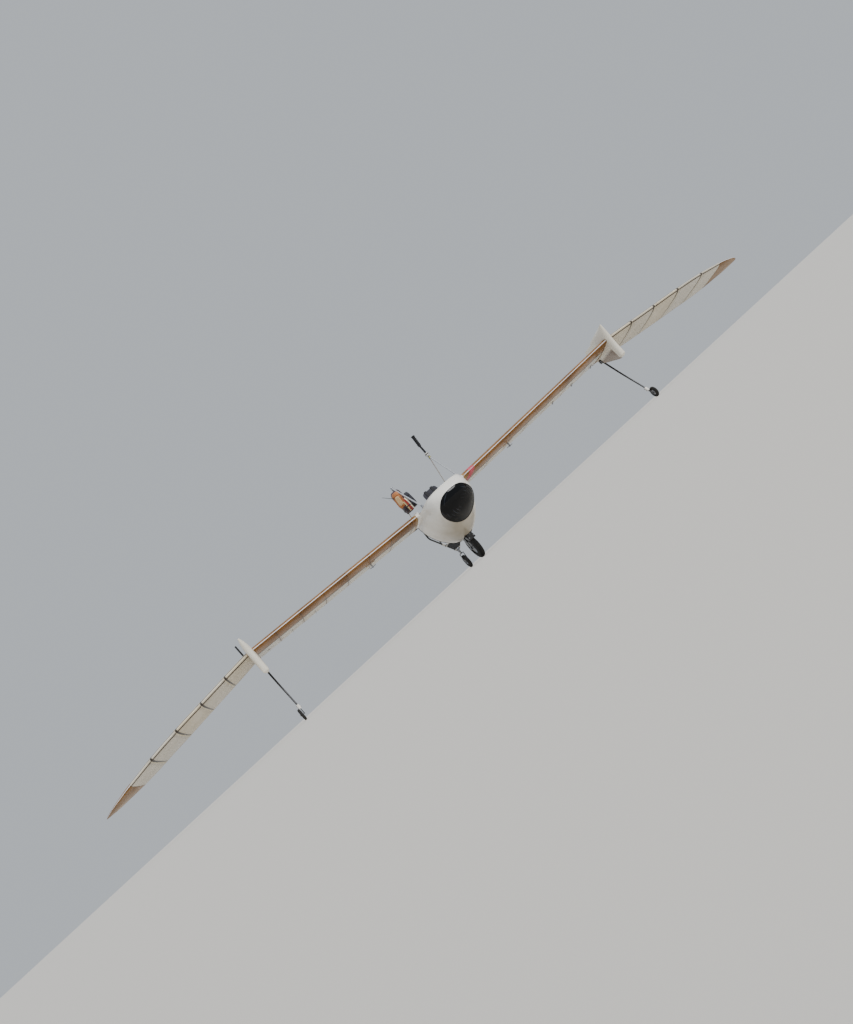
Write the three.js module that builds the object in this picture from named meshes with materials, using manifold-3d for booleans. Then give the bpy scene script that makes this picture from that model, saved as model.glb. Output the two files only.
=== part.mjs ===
// A tailless sailplane glider with a gull wing, standing on its gear.
// Millimetres, +Z up, nose towards -Y, +X on the aircraft's left. The ground is z = 0.
import * as THREE from "three";
import { mergeVertices } from "three/addons/utils/BufferGeometryUtils.js";
import Module from "manifold-3d";

const wasm = await Module();
wasm.setup();

// Driving dimensions
const GAP = 0.3; // between pieces that touch
const SPAR_SHARE = 0.33; // of the chord, where the plywood nose box ends
const HINGE_SHARE = 0.77; // of the chord, where an elevon's hinge runs
const TRAILING_EDGE = 5; // thickness of the wing's rear edge
const ROOT_X = 590; // the wing root rib
const BREAK_X = 4370; // the wing break, where the fin stands
const BREAK_RIB = 130; // width of the rib that joins the two wing panels
const TIP_X = 6985; // where the plywood tip starts
const ELEVON_IN = 2810; // inboard end of an elevon
const ELEVON_GAP = 16; // at each end of an elevon
const HINGE_GAP = 7; // between an elevon's round nose and the wing
const SHELL = 9; // thickness of the pod's shell
const POD_REAR = 215; // y of the pod's open rear edge
const MAIN_R = 270;
const MAIN_W = 115;
const MAIN_Y = 115;
const TAIL_R = 155;
const TAIL_W = 70;
const TAIL_Y = 1350;
const TAIL_PIVOT_Y = 1272;
const TAIL_PIVOT_Z = 430;
const OUTRIGGER_R = 112;
const OUTRIGGER_W = 50;
const OUTRIGGER_X = 4405;
const OUTRIGGER_Y = -915;
const TYRE_STEPS = 32; // flats around a tyre, one of them flat on the ground

// Paints and materials
const PAINT = {
  gelcoat: { color: 0xe9e9e6, roughness: 0.25, metalness: 0 },
  tinted: { color: 0x14161a, roughness: 0.08, metalness: 0 },
  plywood: { color: 0x9a6b3a, roughness: 0.4, metalness: 0 },
  fabric: { color: 0xd9d8d2, roughness: 0.6, metalness: 0 },
  black: { color: 0x17181a, roughness: 0.45, metalness: 0.2 },
  steel: { color: 0x8a8c8f, roughness: 0.35, metalness: 1 },
  alloy: { color: 0xc9ccd0, roughness: 0.3, metalness: 1 },
  rubber: { color: 0x1b1b1c, roughness: 0.85, metalness: 0 },
  grey: { color: 0x3b3d40, roughness: 0.6, metalness: 0.1 },
  leather: { color: 0x26272b, roughness: 0.7, metalness: 0 },
  canvas: { color: 0xb5793c, roughness: 0.9, metalness: 0 },
};

const glider = new THREE.Group();

// Adds a named piece in its own finish
function add(name, geometry, paint) {
  const mesh = new THREE.Mesh(geometry, new THREE.MeshStandardMaterial(PAINT[paint]));
  mesh.name = name;
  glider.add(mesh);
}

// A closed geometry as a solid that can be joined and cut
function solid(geometry) {
  const plain = geometry.clone();
  plain.deleteAttribute("normal");
  plain.deleteAttribute("uv");
  const merged = mergeVertices(plain, 1e-3);
  return new wasm.Manifold(
    new wasm.Mesh({
      numProp: 3,
      vertProperties: Float32Array.from(merged.attributes.position.array),
      triVerts: Uint32Array.from(merged.index.array),
    }),
  );
}

// A joined or cut solid back as a geometry
function geometryOf(manifold) {
  const mesh = manifold.getMesh();
  const geometry = new THREE.BufferGeometry();
  const stride = mesh.numProp;
  const count = mesh.vertProperties.length / stride;
  const positions = new Float32Array(count * 3);
  for (let i = 0; i < count; i += 1) {
    positions.set(mesh.vertProperties.subarray(i * stride, i * stride + 3), i * 3);
  }
  geometry.setAttribute("position", new THREE.BufferAttribute(positions, 3));
  geometry.setIndex(Array.from(mesh.triVerts));
  return geometry;
}

function union(geometries) {
  return geometryOf(geometries.map(solid).reduce((all, one) => all.add(one)));
}

// Six times the signed volume: above zero where the faces point out
function signedVolume(points, faces) {
  return faces.reduce((sum, [a, b, c]) => {
    const cross = new THREE.Vector3().crossVectors(points[b], points[c]);
    return sum + points[a].dot(cross);
  }, 0);
}

// A skin over rings of equal point counts, closed by a flat cap at each end.
// The caps are triangulated in the plane that flat(point) gives.
function loft(rings, flat) {
  const count = rings[0].length;
  const points = rings.flat();
  const faces = [];
  for (let ring = 0; ring + 1 < rings.length; ring += 1) {
    for (let i = 0; i < count; i += 1) {
      const a = ring * count + i;
      const b = ring * count + ((i + 1) % count);
      faces.push([a, b, b + count], [a, b + count, a + count]);
    }
  }
  for (const start of [0, points.length - count]) {
    const outline = points.slice(start, start + count).map(flat);
    for (const [a, b, c] of THREE.ShapeUtils.triangulateShape(outline, [])) {
      faces.push([start + a, start + b, start + c]);
    }
  }
  return closedGeometry(points, matchCaps(points, faces, count, rings.length));
}

// Turns each cap so that it runs along its ring the other way than the sides do
function matchCaps(points, faces, count, ringCount) {
  const edges = new Set();
  const sides = 2 * count * (ringCount - 1);
  for (const [a, b, c] of faces.slice(0, sides)) {
    edges.add(`${a},${b}`);
    edges.add(`${b},${c}`);
    edges.add(`${c},${a}`);
  }
  const caps = faces.slice(sides);
  const wrong = caps.map(([a, b, c]) => {
    return edges.has(`${a},${b}`) || edges.has(`${b},${c}`) || edges.has(`${c},${a}`);
  });
  const half = caps.length / 2;
  const firstWrong = wrong.slice(0, half).some(Boolean);
  const lastWrong = wrong.slice(half).some(Boolean);
  const turned = caps.map((face, i) => {
    const turn = i < half ? firstWrong : lastWrong;
    return turn ? [face[0], face[2], face[1]] : face;
  });
  return [...faces.slice(0, sides), ...turned];
}

function closedGeometry(points, faces) {
  const outward = signedVolume(points, faces) > 0;
  const geometry = new THREE.BufferGeometry();
  geometry.setAttribute(
    "position",
    new THREE.Float32BufferAttribute(points.flatMap((p) => [p.x, p.y, p.z]), 3),
  );
  geometry.setIndex(faces.flatMap(([a, b, c]) => (outward ? [a, b, c] : [a, c, b])));
  return geometry;
}

const v = (x, y, z) => new THREE.Vector3(x, y, z);
const sideView = (p) => new THREE.Vector2(p.y, p.z);
const frontView = (p) => new THREE.Vector2(p.x, p.z);

// A box given by its lowest and highest corners
function block(low, high) {
  const size = high.map((value, i) => value - low[i]);
  const middle = high.map((value, i) => (value + low[i]) / 2);
  return new THREE.BoxGeometry(...size).translate(...middle);
}

// A straight round bar between two points
function bar(from, to, radius, sides = 12) {
  const direction = new THREE.Vector3().subVectors(to, from);
  const geometry = new THREE.CylinderGeometry(radius, radius, direction.length(), sides);
  const up = v(0, 1, 0);
  const turn = new THREE.Quaternion().setFromUnitVectors(up, direction.normalize());
  geometry.applyQuaternion(turn);
  const middle = new THREE.Vector3().addVectors(from, to).multiplyScalar(0.5);
  return geometry.translate(middle.x, middle.y, middle.z);
}

// A tube along a smooth curve through a few points
function bent(points, radius, steps = 16, sides = 10) {
  const outline = new THREE.Shape();
  for (let i = 0; i < sides; i += 1) {
    const angle = (2 * Math.PI * i) / sides;
    const x = radius * Math.cos(angle);
    const y = radius * Math.sin(angle);
    if (i === 0) outline.moveTo(x, y);
    else outline.lineTo(x, y);
  }
  outline.closePath();
  const extrudePath = new THREE.CatmullRomCurve3(points, false, "centripetal");
  return new THREE.ExtrudeGeometry(outline, { steps, bevelEnabled: false, extrudePath });
}

// A flat plate from an outline in the side view (y, z), from x = low to x = high
function sidePlate(outline, low, high) {
  const rings = [low, high].map((x) => outline.map(([y, z]) => v(x, y, z)));
  return loft(rings, sideView);
}

// A wheel part turned about the X axis, its profile given as [radius, x] pairs
function turned(profile, centre, steps = TYRE_STEPS) {
  const points = profile.map(([radius, x]) => new THREE.Vector2(radius, x));
  const geometry = new THREE.LatheGeometry([...points, points[0].clone()], steps);
  geometry.rotateY(Math.PI / steps);
  geometry.rotateZ(-Math.PI / 2);
  geometry.rotateX(flatDown(steps));
  return geometry.translate(centre.x, centre.y, centre.z);
}

// The turn that leaves a flat of the wheel level with the ground
function flatDown(steps) {
  return steps % 4 === 0 ? 0 : Math.PI / steps / 2;
}

// Wing stations: span x, leading edge y, leading edge z, chord, thickness share, incidence in degrees
const STATIONS = [
  { x: 590, y: -485, z: 1360, chord: 1050, thick: 0.135, tilt: 5 },
  { x: 4370, y: -1135, z: 1447, chord: 1075, thick: 0.115, tilt: 5.5 },
  { x: 4900, y: -1165, z: 1395, chord: 1120, thick: 0.105, tilt: 6 },
  { x: 5430, y: -1250, z: 1330, chord: 1150, thick: 0.1, tilt: 6 },
  { x: 5960, y: -1395, z: 1259, chord: 1170, thick: 0.095, tilt: 6 },
  { x: 6490, y: -1505, z: 1175, chord: 1140, thick: 0.09, tilt: 5.5 },
  { x: 6985, y: -1500, z: 1084, chord: 950, thick: 0.09, tilt: 5 },
  { x: 7300, y: -1390, z: 1026, chord: 700, thick: 0.085, tilt: 4 },
  { x: 7500, y: -1260, z: 988, chord: 460, thick: 0.08, tilt: 3 },
  { x: 7650, y: -1085, z: 958, chord: 120, thick: 0.12, tilt: 0 },
];

// The station at any span, straight between its neighbours in the table
function stationAt(x) {
  const next = STATIONS.findIndex((station) => station.x >= x);
  const b = STATIONS[Math.max(next, 1)];
  const a = STATIONS[Math.max(next, 1) - 1];
  const t = (x - a.x) / (b.x - a.x);
  const mix = (key) => a[key] + (b[key] - a[key]) * t;
  return { x, y: mix("y"), z: mix("z"), chord: mix("chord"), thick: mix("thick"), tilt: mix("tilt") };
}

// Half the thickness and the camber line of the section, both as shares of the chord
function halfThickness(station, share) {
  const curve = 0.2969 * Math.sqrt(share) - 0.126 * share - 0.3516 * share ** 2;
  const rest = 0.2843 * share ** 3 - 0.1036 * share ** 4;
  return 5 * station.thick * (curve + rest) + (TRAILING_EDGE / 2 / station.chord) * share;
}

function camber(share) {
  return 0.09 * share * (1 - share) * (0.95 - share);
}

// A point of the section: share of the chord, side +1 above, -1 below, 0 on the camber line
function sectionPoint(station, share, side, proud = 0) {
  const tilt = THREE.MathUtils.degToRad(station.tilt);
  const along = share * station.chord;
  const half = halfThickness(station, share) * station.chord + proud;
  const up = camber(share) * station.chord + side * half;
  const y = station.y + along * Math.cos(tilt) + up * Math.sin(tilt);
  const z = station.z - along * Math.sin(tilt) + up * Math.cos(tilt);
  return v(station.x, y, z);
}

// The ring round a stretch of the section, from share `from` back to share `to`
function sectionRing(x, from, to, steps, proud = 0) {
  const station = stationAt(x);
  const shares = Array.from({ length: steps + 1 }, (_, i) => {
    const t = i / steps;
    const spread = from === 0 ? 1 - Math.cos((t * Math.PI) / 2) : t;
    return from + (to - from) * spread;
  });
  const upper = [...shares].reverse().map((share) => sectionPoint(station, share, 1, proud));
  const lower = shares.map((share) => sectionPoint(station, share, -1, proud));
  return from === 0 ? [...upper, ...lower.slice(1)] : [...upper, ...lower];
}

function mirrored(geometry) {
  return geometryOf(solid(geometry).mirror([1, 0, 0]));
}

// Adds a piece on the left side of the aircraft and its mirror image on the right
function addPair(name, geometry, paint) {
  add(`${name}_left`, geometry, paint);
  add(`${name}_right`, mirrored(geometry), paint);
}

// Inner wing panel: plywood nose box, fabric rear, and the elevon in its last three bays
const BREAK_IN = BREAK_X - BREAK_RIB / 2;
const BREAK_OUT = BREAK_X + BREAK_RIB / 2;

function noseBox() {
  const rings = [ROOT_X + GAP, BREAK_IN - GAP].map((x) => sectionRing(x, 0, SPAR_SHARE, 7));
  return loft(rings, sideView);
}

function elevonHinge(x) {
  const station = stationAt(x);
  const centre = sectionPoint(station, HINGE_SHARE, 0);
  const radius = halfThickness(station, HINGE_SHARE) * station.chord;
  return { centre, radius };
}

function rearPanel() {
  // Twice the usual gap, because the parting face twists along the span
  const start = SPAR_SHARE + (2 * GAP) / STATIONS[0].chord;
  const whole = loft(
    [ROOT_X + GAP, BREAK_IN - GAP].map((x) => sectionRing(x, start, 1, 6)),
    sideView,
  );
  const cove = [ELEVON_IN, BREAK_IN + 10].map((x) => {
    const { centre, radius } = elevonHinge(x);
    const front = centre.y - radius - HINGE_GAP;
    return [v(x, front, 900), v(x, front, 1700), v(x, front + 700, 1700), v(x, front + 700, 900)];
  });
  return geometryOf(solid(whole).subtract(solid(loft(cove, sideView))));
}

// An elevon with a half-round nose about its hinge
function elevon() {
  const noseSteps = 6;
  const rings = [ELEVON_IN + ELEVON_GAP, BREAK_IN - ELEVON_GAP].map((x) => {
    const station = stationAt(x);
    const { centre, radius } = elevonHinge(x);
    const tilt = THREE.MathUtils.degToRad(station.tilt);
    const nose = Array.from({ length: noseSteps + 1 }, (_, i) => {
      const angle = Math.PI / 2 + (Math.PI * i) / noseSteps;
      const along = radius * Math.cos(angle);
      const up = radius * Math.sin(angle);
      const y = centre.y + along * Math.cos(tilt) + up * Math.sin(tilt);
      const z = centre.z - along * Math.sin(tilt) + up * Math.cos(tilt);
      return v(x, y, z);
    });
    const shares = [HINGE_SHARE + 0.08, HINGE_SHARE + 0.16, 1];
    const lower = shares.map((share) => sectionPoint(station, share, -1));
    const upper = [...shares].reverse().map((share) => sectionPoint(station, share, 1));
    return [...nose, ...lower, ...upper];
  });
  return geometryOf(solid(loft(rings, sideView)).add(solid(hingePin())));
}

// The elevon's pin runs square to its hinge line, so its ends stop short of the ribs' upright faces
function hingePin() {
  const radius = 8;
  const [from, to] = [ELEVON_IN, BREAK_IN].map((x) => elevonHinge(x).centre);
  const line = new THREE.Vector3().subVectors(to, from).normalize();
  const short = (GAP + radius * Math.hypot(line.y, line.z)) / line.x;
  return bar(from.addScaledVector(line, short), to.addScaledVector(line, -short), radius, 8);
}

// Outer wing panel and its plywood tip
function outerWing() {
  const spans = [BREAK_OUT + GAP, 4900, 5430, 5960, 6490, TIP_X - GAP];
  return loft(spans.map((x) => sectionRing(x, 0, 1, 12)), sideView);
}

function wingTip() {
  const spans = [TIP_X, 7140, 7300, 7500, 7650];
  return loft(spans.map((x) => sectionRing(x, 0, 1, 12)), sideView);
}

addPair("nose_box", noseBox(), "plywood");
addPair("rear_panel", rearPanel(), "fabric");
addPair("elevon", elevon(), "fabric");
addPair("outer_wing", outerWing(), "fabric");
addPair("wing_tip", wingTip(), "plywood");

// Fin: an upright streamlined surface through the wing break, with the rib that joins the panels
const FIN_HALF = 62;
const FIN_STATIONS = [
  // height z, front y, rear y, half thickness
  { z: 1002, front: -1105, rear: -960, half: 34 },
  { z: 1040, front: -1142, rear: -830, half: 54 },
  { z: 1290, front: -1170, rear: -238, half: FIN_HALF },
  { z: 1480, front: -1200, rear: -205, half: FIN_HALF },
  { z: 1625, front: -1232, rear: -240, half: 46 },
  { z: 1727, front: -1246, rear: -1190, half: 14 },
];
const RUDDER_HINGE_Y = -470;
const RUDDER_LOW = 1520;

// A level ring of the fin: blunt front, long straight rear
function finRing({ z, front, rear, half }) {
  const length = rear - front;
  const steps = 9;
  const shares = Array.from({ length: steps + 1 }, (_, i) => 1 - Math.cos((i / steps) * (Math.PI / 2)));
  const section = { thick: 1, chord: 1e9 };
  const width = (share) => 2 * halfThickness(section, share) * half + 2 * share;
  const left = [...shares].reverse().map((share) => v(width(share), front + share * length, z));
  const right = shares.slice(1).map((share) => v(-width(share), front + share * length, z));
  return [...left, ...right];
}

const topView = (p) => new THREE.Vector2(p.x, p.y);

function finBody() {
  return loft(FIN_STATIONS.map(finRing), topView).translate(BREAK_X, 0, 0);
}

function breakRib() {
  return loft([BREAK_IN, BREAK_OUT].map((x) => sectionRing(x, 0, 1, 12, 3)), sideView);
}

// The space behind the hinge and above the wing, where the rudder swings
function rudderSpace() {
  return block([BREAK_X - 200, RUDDER_HINGE_Y - 34, RUDDER_LOW - 12], [BREAK_X + 200, 200, 1800]);
}

// The block in the fin's lower rear corner that the outrigger rod is let into
function rodSocket(swell = 0) {
  const low = [BREAK_X - 28 - swell, -402 - swell, 1222 - swell];
  return block(low, [BREAK_X + 36 + swell, -272, 1310]);
}

function fin() {
  const whole = solid(finBody()).subtract(solid(rudderSpace())).add(solid(breakRib()));
  const pin = bar(v(BREAK_X, RUDDER_HINGE_Y, 1440), v(BREAK_X, RUDDER_HINGE_Y, RUDDER_LOW - GAP), 9, 10);
  return geometryOf(whole.add(solid(pin)).add(solid(rodSocket())));
}

// Rudder: the same outline behind the hinge, with a half-round nose
function rudder() {
  const nose = 24;
  const heights = [RUDDER_LOW, 1632];
  const rings = heights.map((z, i) => {
    const half = nose - 6 * i;
    const rear = -40 - 60 * i;
    const steps = 6;
    const round = Array.from({ length: steps + 1 }, (_, k) => {
      const angle = Math.PI + (Math.PI * k) / steps;
      return v(half * Math.cos(angle), RUDDER_HINGE_Y + half * Math.sin(angle), z);
    });
    return [...round, v(3, rear, z), v(-3, rear, z)];
  });
  return loft(rings, topView).translate(BREAK_X, 0, 0);
}

addPair("fin", fin(), "gelcoat");
addPair("rudder", rudder(), "gelcoat");

// Outrigger: a springy black rod from the fin's lower rear corner, and its small wheel
const ROD_TOP = v(BREAK_X + 4, -330, 1290);
const ROD_FOOT = v(OUTRIGGER_X - 44, OUTRIGGER_Y + 42, 235);
const outriggerAxle = v(OUTRIGGER_X, OUTRIGGER_Y, OUTRIGGER_R * Math.cos(Math.PI / TYRE_STEPS));

function outriggerRod() {
  const bend = v(BREAK_X + 2, -560, 800);
  const rod = bent([ROD_TOP, bend, ROD_FOOT], 17, 14, 8);
  const { x, y, z } = outriggerAxle;
  const arm = block([x - 52, y - 20, z - 22], [x - 36, y + 64, 262]);
  const axle = bar(v(x - 44, y, z), v(x + 27, y, z), 8, 10);
  return union([rod, arm, axle]);
}

function smallWheel(centre, radius, width, bore) {
  const half = width / 2;
  const profile = [
    [bore, -half * 0.7], [radius * 0.58, -half * 0.7], [radius * 0.72, -half],
    [radius * 0.94, -half * 0.8], [radius, -half * 0.3], [radius, half * 0.3],
    [radius * 0.94, half * 0.8], [radius * 0.72, half], [radius * 0.58, half * 0.7],
    [bore, half * 0.7],
  ];
  return turned(profile, centre);
}

const rodShape = solid(outriggerRod()).subtract(solid(rodSocket(GAP)));
addPair("outrigger_rod", geometryOf(rodShape), "black");
addPair("outrigger_wheel", smallWheel(outriggerAxle, OUTRIGGER_R, OUTRIGGER_W, 8.3), "rubber");

// Pod: an egg-shaped shell, open on top and behind. Each station is length y, half width, height
// of the widest level, top of the closed egg, bottom, and how square the section is below the level
const POD = [
  { y: -1315, half: 0, level: 1160, top: 1160, low: 1160, belly: 2.3 },
  { y: -1303, half: 105, level: 1160, top: 1242, low: 1080, belly: 2.3 },
  { y: -1265, half: 210, level: 1160, top: 1308, low: 1020, belly: 2.3 },
  { y: -1195, half: 305, level: 1165, top: 1385, low: 950, belly: 2.3 },
  { y: -1085, half: 390, level: 1170, top: 1470, low: 860, belly: 2.25 },
  { y: -935, half: 440, level: 1180, top: 1550, low: 775, belly: 2.15 },
  { y: -735, half: 475, level: 1205, top: 1615, low: 685, belly: 2 },
  { y: -485, half: 530, level: 1230, top: 1655, low: 582, belly: 1.9 },
  { y: -200, half: 565, level: 1242, top: 1670, low: 500, belly: 1.8 },
  { y: 60, half: 565, level: 1242, top: 1670, low: 472, belly: 1.8 },
  { y: 320, half: 540, level: 1242, top: 1670, low: 480, belly: 1.8 },
];
const POD_SIDES = 40;
const POD_CROWN = 2.9; // how square the section is above the level: 2 is an ellipse
const RIM_FRONT = { y: -1060, z: 1412 };
const RIM_FALL = 0.134; // how much the rim drops for each millimetre towards the rear

function podRing({ y, half, level, top, low, belly }, inset) {
  const width = Math.max(half - inset, 1);
  const high = Math.max(top - level - inset, 1);
  const deep = Math.max(level - low - inset, 1);
  return Array.from({ length: POD_SIDES }, (_, i) => {
    const angle = (2 * Math.PI * i) / POD_SIDES;
    const power = Math.sin(angle) > 0 ? POD_CROWN : belly;
    const across = Math.sign(Math.cos(angle)) * Math.abs(Math.cos(angle)) ** (2 / power);
    const up = Math.sign(Math.sin(angle)) * Math.abs(Math.sin(angle)) ** (2 / power);
    return v(width * across, y, level + (up > 0 ? high : deep) * up);
  });
}

function egg(inset) {
  const rings = POD.map((station, i) => {
    const shifted = i === POD.length - 1 ? station : { ...station, y: station.y + inset * noseShare(station.y) };
    return podRing(shifted, inset);
  });
  return loft(rings, frontView);
}

// The shell's thickness turns from sideways to lengthways over the nose, from this y to the tip
const NOSE_FROM = -900;
function noseShare(y) {
  return THREE.MathUtils.clamp((NOSE_FROM - y) / (NOSE_FROM - POD[0].y), 0, 1);
}

function rimHeight(y) {
  return RIM_FRONT.z - RIM_FALL * (y - RIM_FRONT.y);
}

// Everything above the cockpit rim
function aboveRim(lift = 0) {
  const outline = [
    [-2000, 2500], [-2000, rimHeight(-2000) + lift], [600, rimHeight(600) + lift], [600, 2500],
  ];
  return sidePlate(outline, -900, 900);
}

// The plane that parts the window from the shell, from its top edge to its bottom edge
const WINDOW_TOP = { y: -1262, z: 1248 };
const WINDOW_FOOT = { y: -815, z: 721 };

function aheadOfWindow(shift) {
  const run = new THREE.Vector2(WINDOW_FOOT.y - WINDOW_TOP.y, WINDOW_FOOT.z - WINDOW_TOP.z).normalize();
  const out = new THREE.Vector2(run.y, -run.x);
  const at = (along, ahead) => {
    const far = out.clone().multiplyScalar(ahead + shift);
    return [WINDOW_TOP.y + run.x * along + far.x, WINDOW_TOP.z + run.y * along + far.y];
  };
  return sidePlate([at(-900, 0), at(2000, 0), at(2000, 1500), at(-900, 1500)], -900, 900);
}

function wingStub() {
  const rings = [ROOT_X - 105, ROOT_X].map((x, i) => {
    return sectionRing(ROOT_X, 0, 1, 12, i === 0 ? 26 : 4).map((p) => v(x, p.y, p.z));
  });
  return loft(rings, sideView);
}

// The slot in the pod's bottom for the wheel and its bracket
const SLOT = { front: -235, half: 95, top: 640 };
const wheelSlot = block([-SLOT.half, SLOT.front, 400], [SLOT.half, 400, SLOT.top]);
const behindPod = block([-900, POD_REAR, 0], [900, 1000, 2500]);

function podShell() {
  const shell = solid(egg(0)).subtract(solid(egg(SHELL)));
  const open = shell.subtract(solid(aboveRim())).subtract(solid(behindPod)).subtract(solid(wheelSlot));
  const stub = solid(wingStub());
  const both = stub.add(stub.mirror([1, 0, 0]));
  const stubs = both.subtract(solid(egg(SHELL))).subtract(solid(behindPod));
  return open.add(stubs);
}

const pod = podShell();
add("pod_shell", geometryOf(pod.subtract(solid(aheadOfWindow(0)))), "gelcoat");
const bubble = solid(egg(0)).subtract(solid(egg(SHELL))).intersect(solid(aheadOfWindow(GAP)));
add("windscreen", geometryOf(bubble), "tinted");

// Carry-through spar between the wing roots, behind the seat
const SPAR_Y = -138;
const SPAR_Z = 1343;
const SPAR_HALF = { width: 35, height: 55 };
const insidePod = solid(egg(SHELL + GAP));

function sparBox(swell = 0) {
  const half = [ROOT_X, SPAR_HALF.width + swell, SPAR_HALF.height + swell];
  const low = [-half[0], SPAR_Y - half[1], SPAR_Z - half[2]];
  return block(low, [half[0], SPAR_Y + half[1], SPAR_Z + half[2]]);
}

// The spar's ends follow the pod's wall below and step back from it on top, where the wall leans in
function centreSpar() {
  const step = { x: 508, z: SPAR_Z + SPAR_HALF.height - 20 };
  const low = [step.x, SPAR_Y - 100, step.z];
  const corner = solid(block(low, [ROOT_X + 10, SPAR_Y + 100, step.z + 100]));
  const whole = solid(sparBox()).intersect(insidePod);
  return geometryOf(whole.subtract(corner).subtract(corner.mirror([1, 0, 0])));
}

add("centre_spar", centreSpar(), "plywood");

// Rear cross tube between the wing roots
const CROSS_Y = 490;
const CROSS_Z = 1272;
const CROSS_R = 19;
function crossTube(swell = 0) {
  return bar(v(-ROOT_X, CROSS_Y, CROSS_Z), v(ROOT_X, CROSS_Y, CROSS_Z), CROSS_R + swell);
}

add("rear_cross_tube", crossTube(), "black");

// Seat frame: a box of tubes from the wheel bracket up to the spar and the cross tube
const TUBE = 15;
const BRACKET_TOP = 640;

function seatFrame(swell = 0) {
  const radius = TUBE + swell;
  const sides = [-1, 1].flatMap((side) => {
    const foot = v(side * 120, 60, BRACKET_TOP + 30);
    const knee = v(side * 190, -330, 1010);
    const back = v(side * 190, -195, 1400);
    const rear = v(side * 250, CROSS_Y - 6, CROSS_Z - 25);
    return [
      bar(foot, knee, radius),
      bar(knee, v(side * 190, -700, 1040), radius),
      bar(knee, back, radius),
      bar(foot, rear, radius),
      bar(foot, v(side * 200, SPAR_Y + 20, SPAR_Z - 40), radius),
    ];
  });
  const cross = [
    bar(v(-130, 60, BRACKET_TOP + 30), v(130, 60, BRACKET_TOP + 30), radius),
    bar(v(-190, -700, 1040), v(190, -700, 1040), radius),
    bar(v(-190, -330, 1010), v(190, -330, 1010), radius),
    bar(v(-190, -195, 1400), v(190, -195, 1400), radius),
  ];
  const tubes = solid(union([...sides, ...cross]));
  return geometryOf(tubes.subtract(solid(sparBox(GAP))).subtract(solid(crossTube(GAP))));
}

add("seat_frame", seatFrame(), "black");

// Cockpit: floor, seat, stick and pedals
const FLOOR_Z = 790;
const floorBox = block([-420, -900, FLOOR_Z - 12], [420, -330, FLOOR_Z]);
add("cockpit_floor", geometryOf(solid(floorBox).intersect(insidePod)), "plywood");

const SEAT_Z = 1110;
const seatPan = [
  [-730, SEAT_Z + 20], [-360, SEAT_Z - 22], [-360, SEAT_Z - 84], [-730, SEAT_Z - 42],
];
const frameSpace = solid(seatFrame(GAP));
add("seat_pan", geometryOf(solid(sidePlate(seatPan, -205, 205)).subtract(frameSpace)), "leather");
const seatBack = [[-360 + GAP, 1070], [-318, 1058], [-128, 1630], [-172, 1642]];
add("seat_back", geometryOf(solid(sidePlate(seatBack, -170, 170)).subtract(frameSpace)), "leather");

const stickPlate = block([-45, -835, FLOOR_Z + GAP], [45, -745, FLOOR_Z + 14]);
const stickRod = bar(v(0, -790, FLOOR_Z + 5), v(0, -770, 1190), 11);
const stickGrip = bar(v(0, -770, 1170), v(0, -764, 1300), 18);
add("control_stick", union([stickPlate, stickRod, stickGrip]), "black");

function pedals() {
  const pieces = [-1, 1].flatMap((side) => [
    block([side * 130 - 28, -852, FLOOR_Z + GAP], [side * 130 + 28, -790, FLOOR_Z + 12]),
    bar(v(side * 130, -840, FLOOR_Z + 6), v(side * 130, -880, 960), 9),
    block([side * 130 - 45, -900, 930], [side * 130 + 45, -872, 1030]),
  ]);
  return union([...pieces, bar(v(-130, -842, 812), v(130, -842, 812), 8)]);
}

add("rudder_pedals", pedals(), "grey");

// Main wheel, its bracket and axle
const mainAxle = v(0, MAIN_Y, MAIN_R * Math.cos(Math.PI / TYRE_STEPS));
const PLATE_IN = MAIN_W / 2 + 9;
const PLATE_OUT = PLATE_IN + 9;
const AXLE_R = 13;

// The guard ahead of the tyre: a plate that widens downwards, with an arm back to each side plate
const GUARD = [
  { y: -205, z: 535, half: 44 },
  { y: -196, z: 470, half: 62 },
  { y: -172, z: 385, half: PLATE_OUT },
];
const GUARD_THICK = 12;
const GUARD_ARM = [[-180, 385], [-165, 445], [-10, 640], [-8, 560], [-60, 450], [-160, 385]]; // as y, z

function frontGuard() {
  const rings = GUARD.map(({ y, z, half }) => [
    v(-half, y, z), v(half, y, z), v(half, y + GUARD_THICK, z), v(-half, y + GUARD_THICK, z),
  ]);
  const thick = PLATE_OUT - PLATE_IN;
  const arms = [PLATE_IN, -PLATE_OUT].map((low) => sidePlate(GUARD_ARM, low, low + thick));
  return union([loft(rings, topView), ...arms]);
}

function mainBracket() {
  const z = mainAxle.z;
  const plates = [-1, 1].map((side) => {
    const low = Math.min(side * PLATE_IN, side * PLATE_OUT);
    const high = Math.max(side * PLATE_IN, side * PLATE_OUT);
    const outline = [
      [MAIN_Y - 34, z - 30], [MAIN_Y + 34, z - 30], [MAIN_Y + 60, BRACKET_TOP],
      [MAIN_Y - 130, BRACKET_TOP],
    ];
    return sidePlate(outline, low, high);
  });
  const crown = block([-PLATE_OUT, MAIN_Y - 125, BRACKET_TOP - 40], [PLATE_OUT, MAIN_Y + 55, BRACKET_TOP]);
  const axle = bar(v(-PLATE_OUT - 14, MAIN_Y, z), v(PLATE_OUT + 14, MAIN_Y, z), AXLE_R);
  const saddle = block([-PLATE_OUT, MAIN_Y - 90, BRACKET_TOP - 5], [PLATE_OUT, MAIN_Y - 20, BRACKET_TOP + 40]);
  const whole = solid(union([...plates, crown, axle, saddle, frontGuard()]));
  return geometryOf(whole.subtract(frameSpace));
}

add("main_wheel_bracket", mainBracket(), "black");

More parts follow.
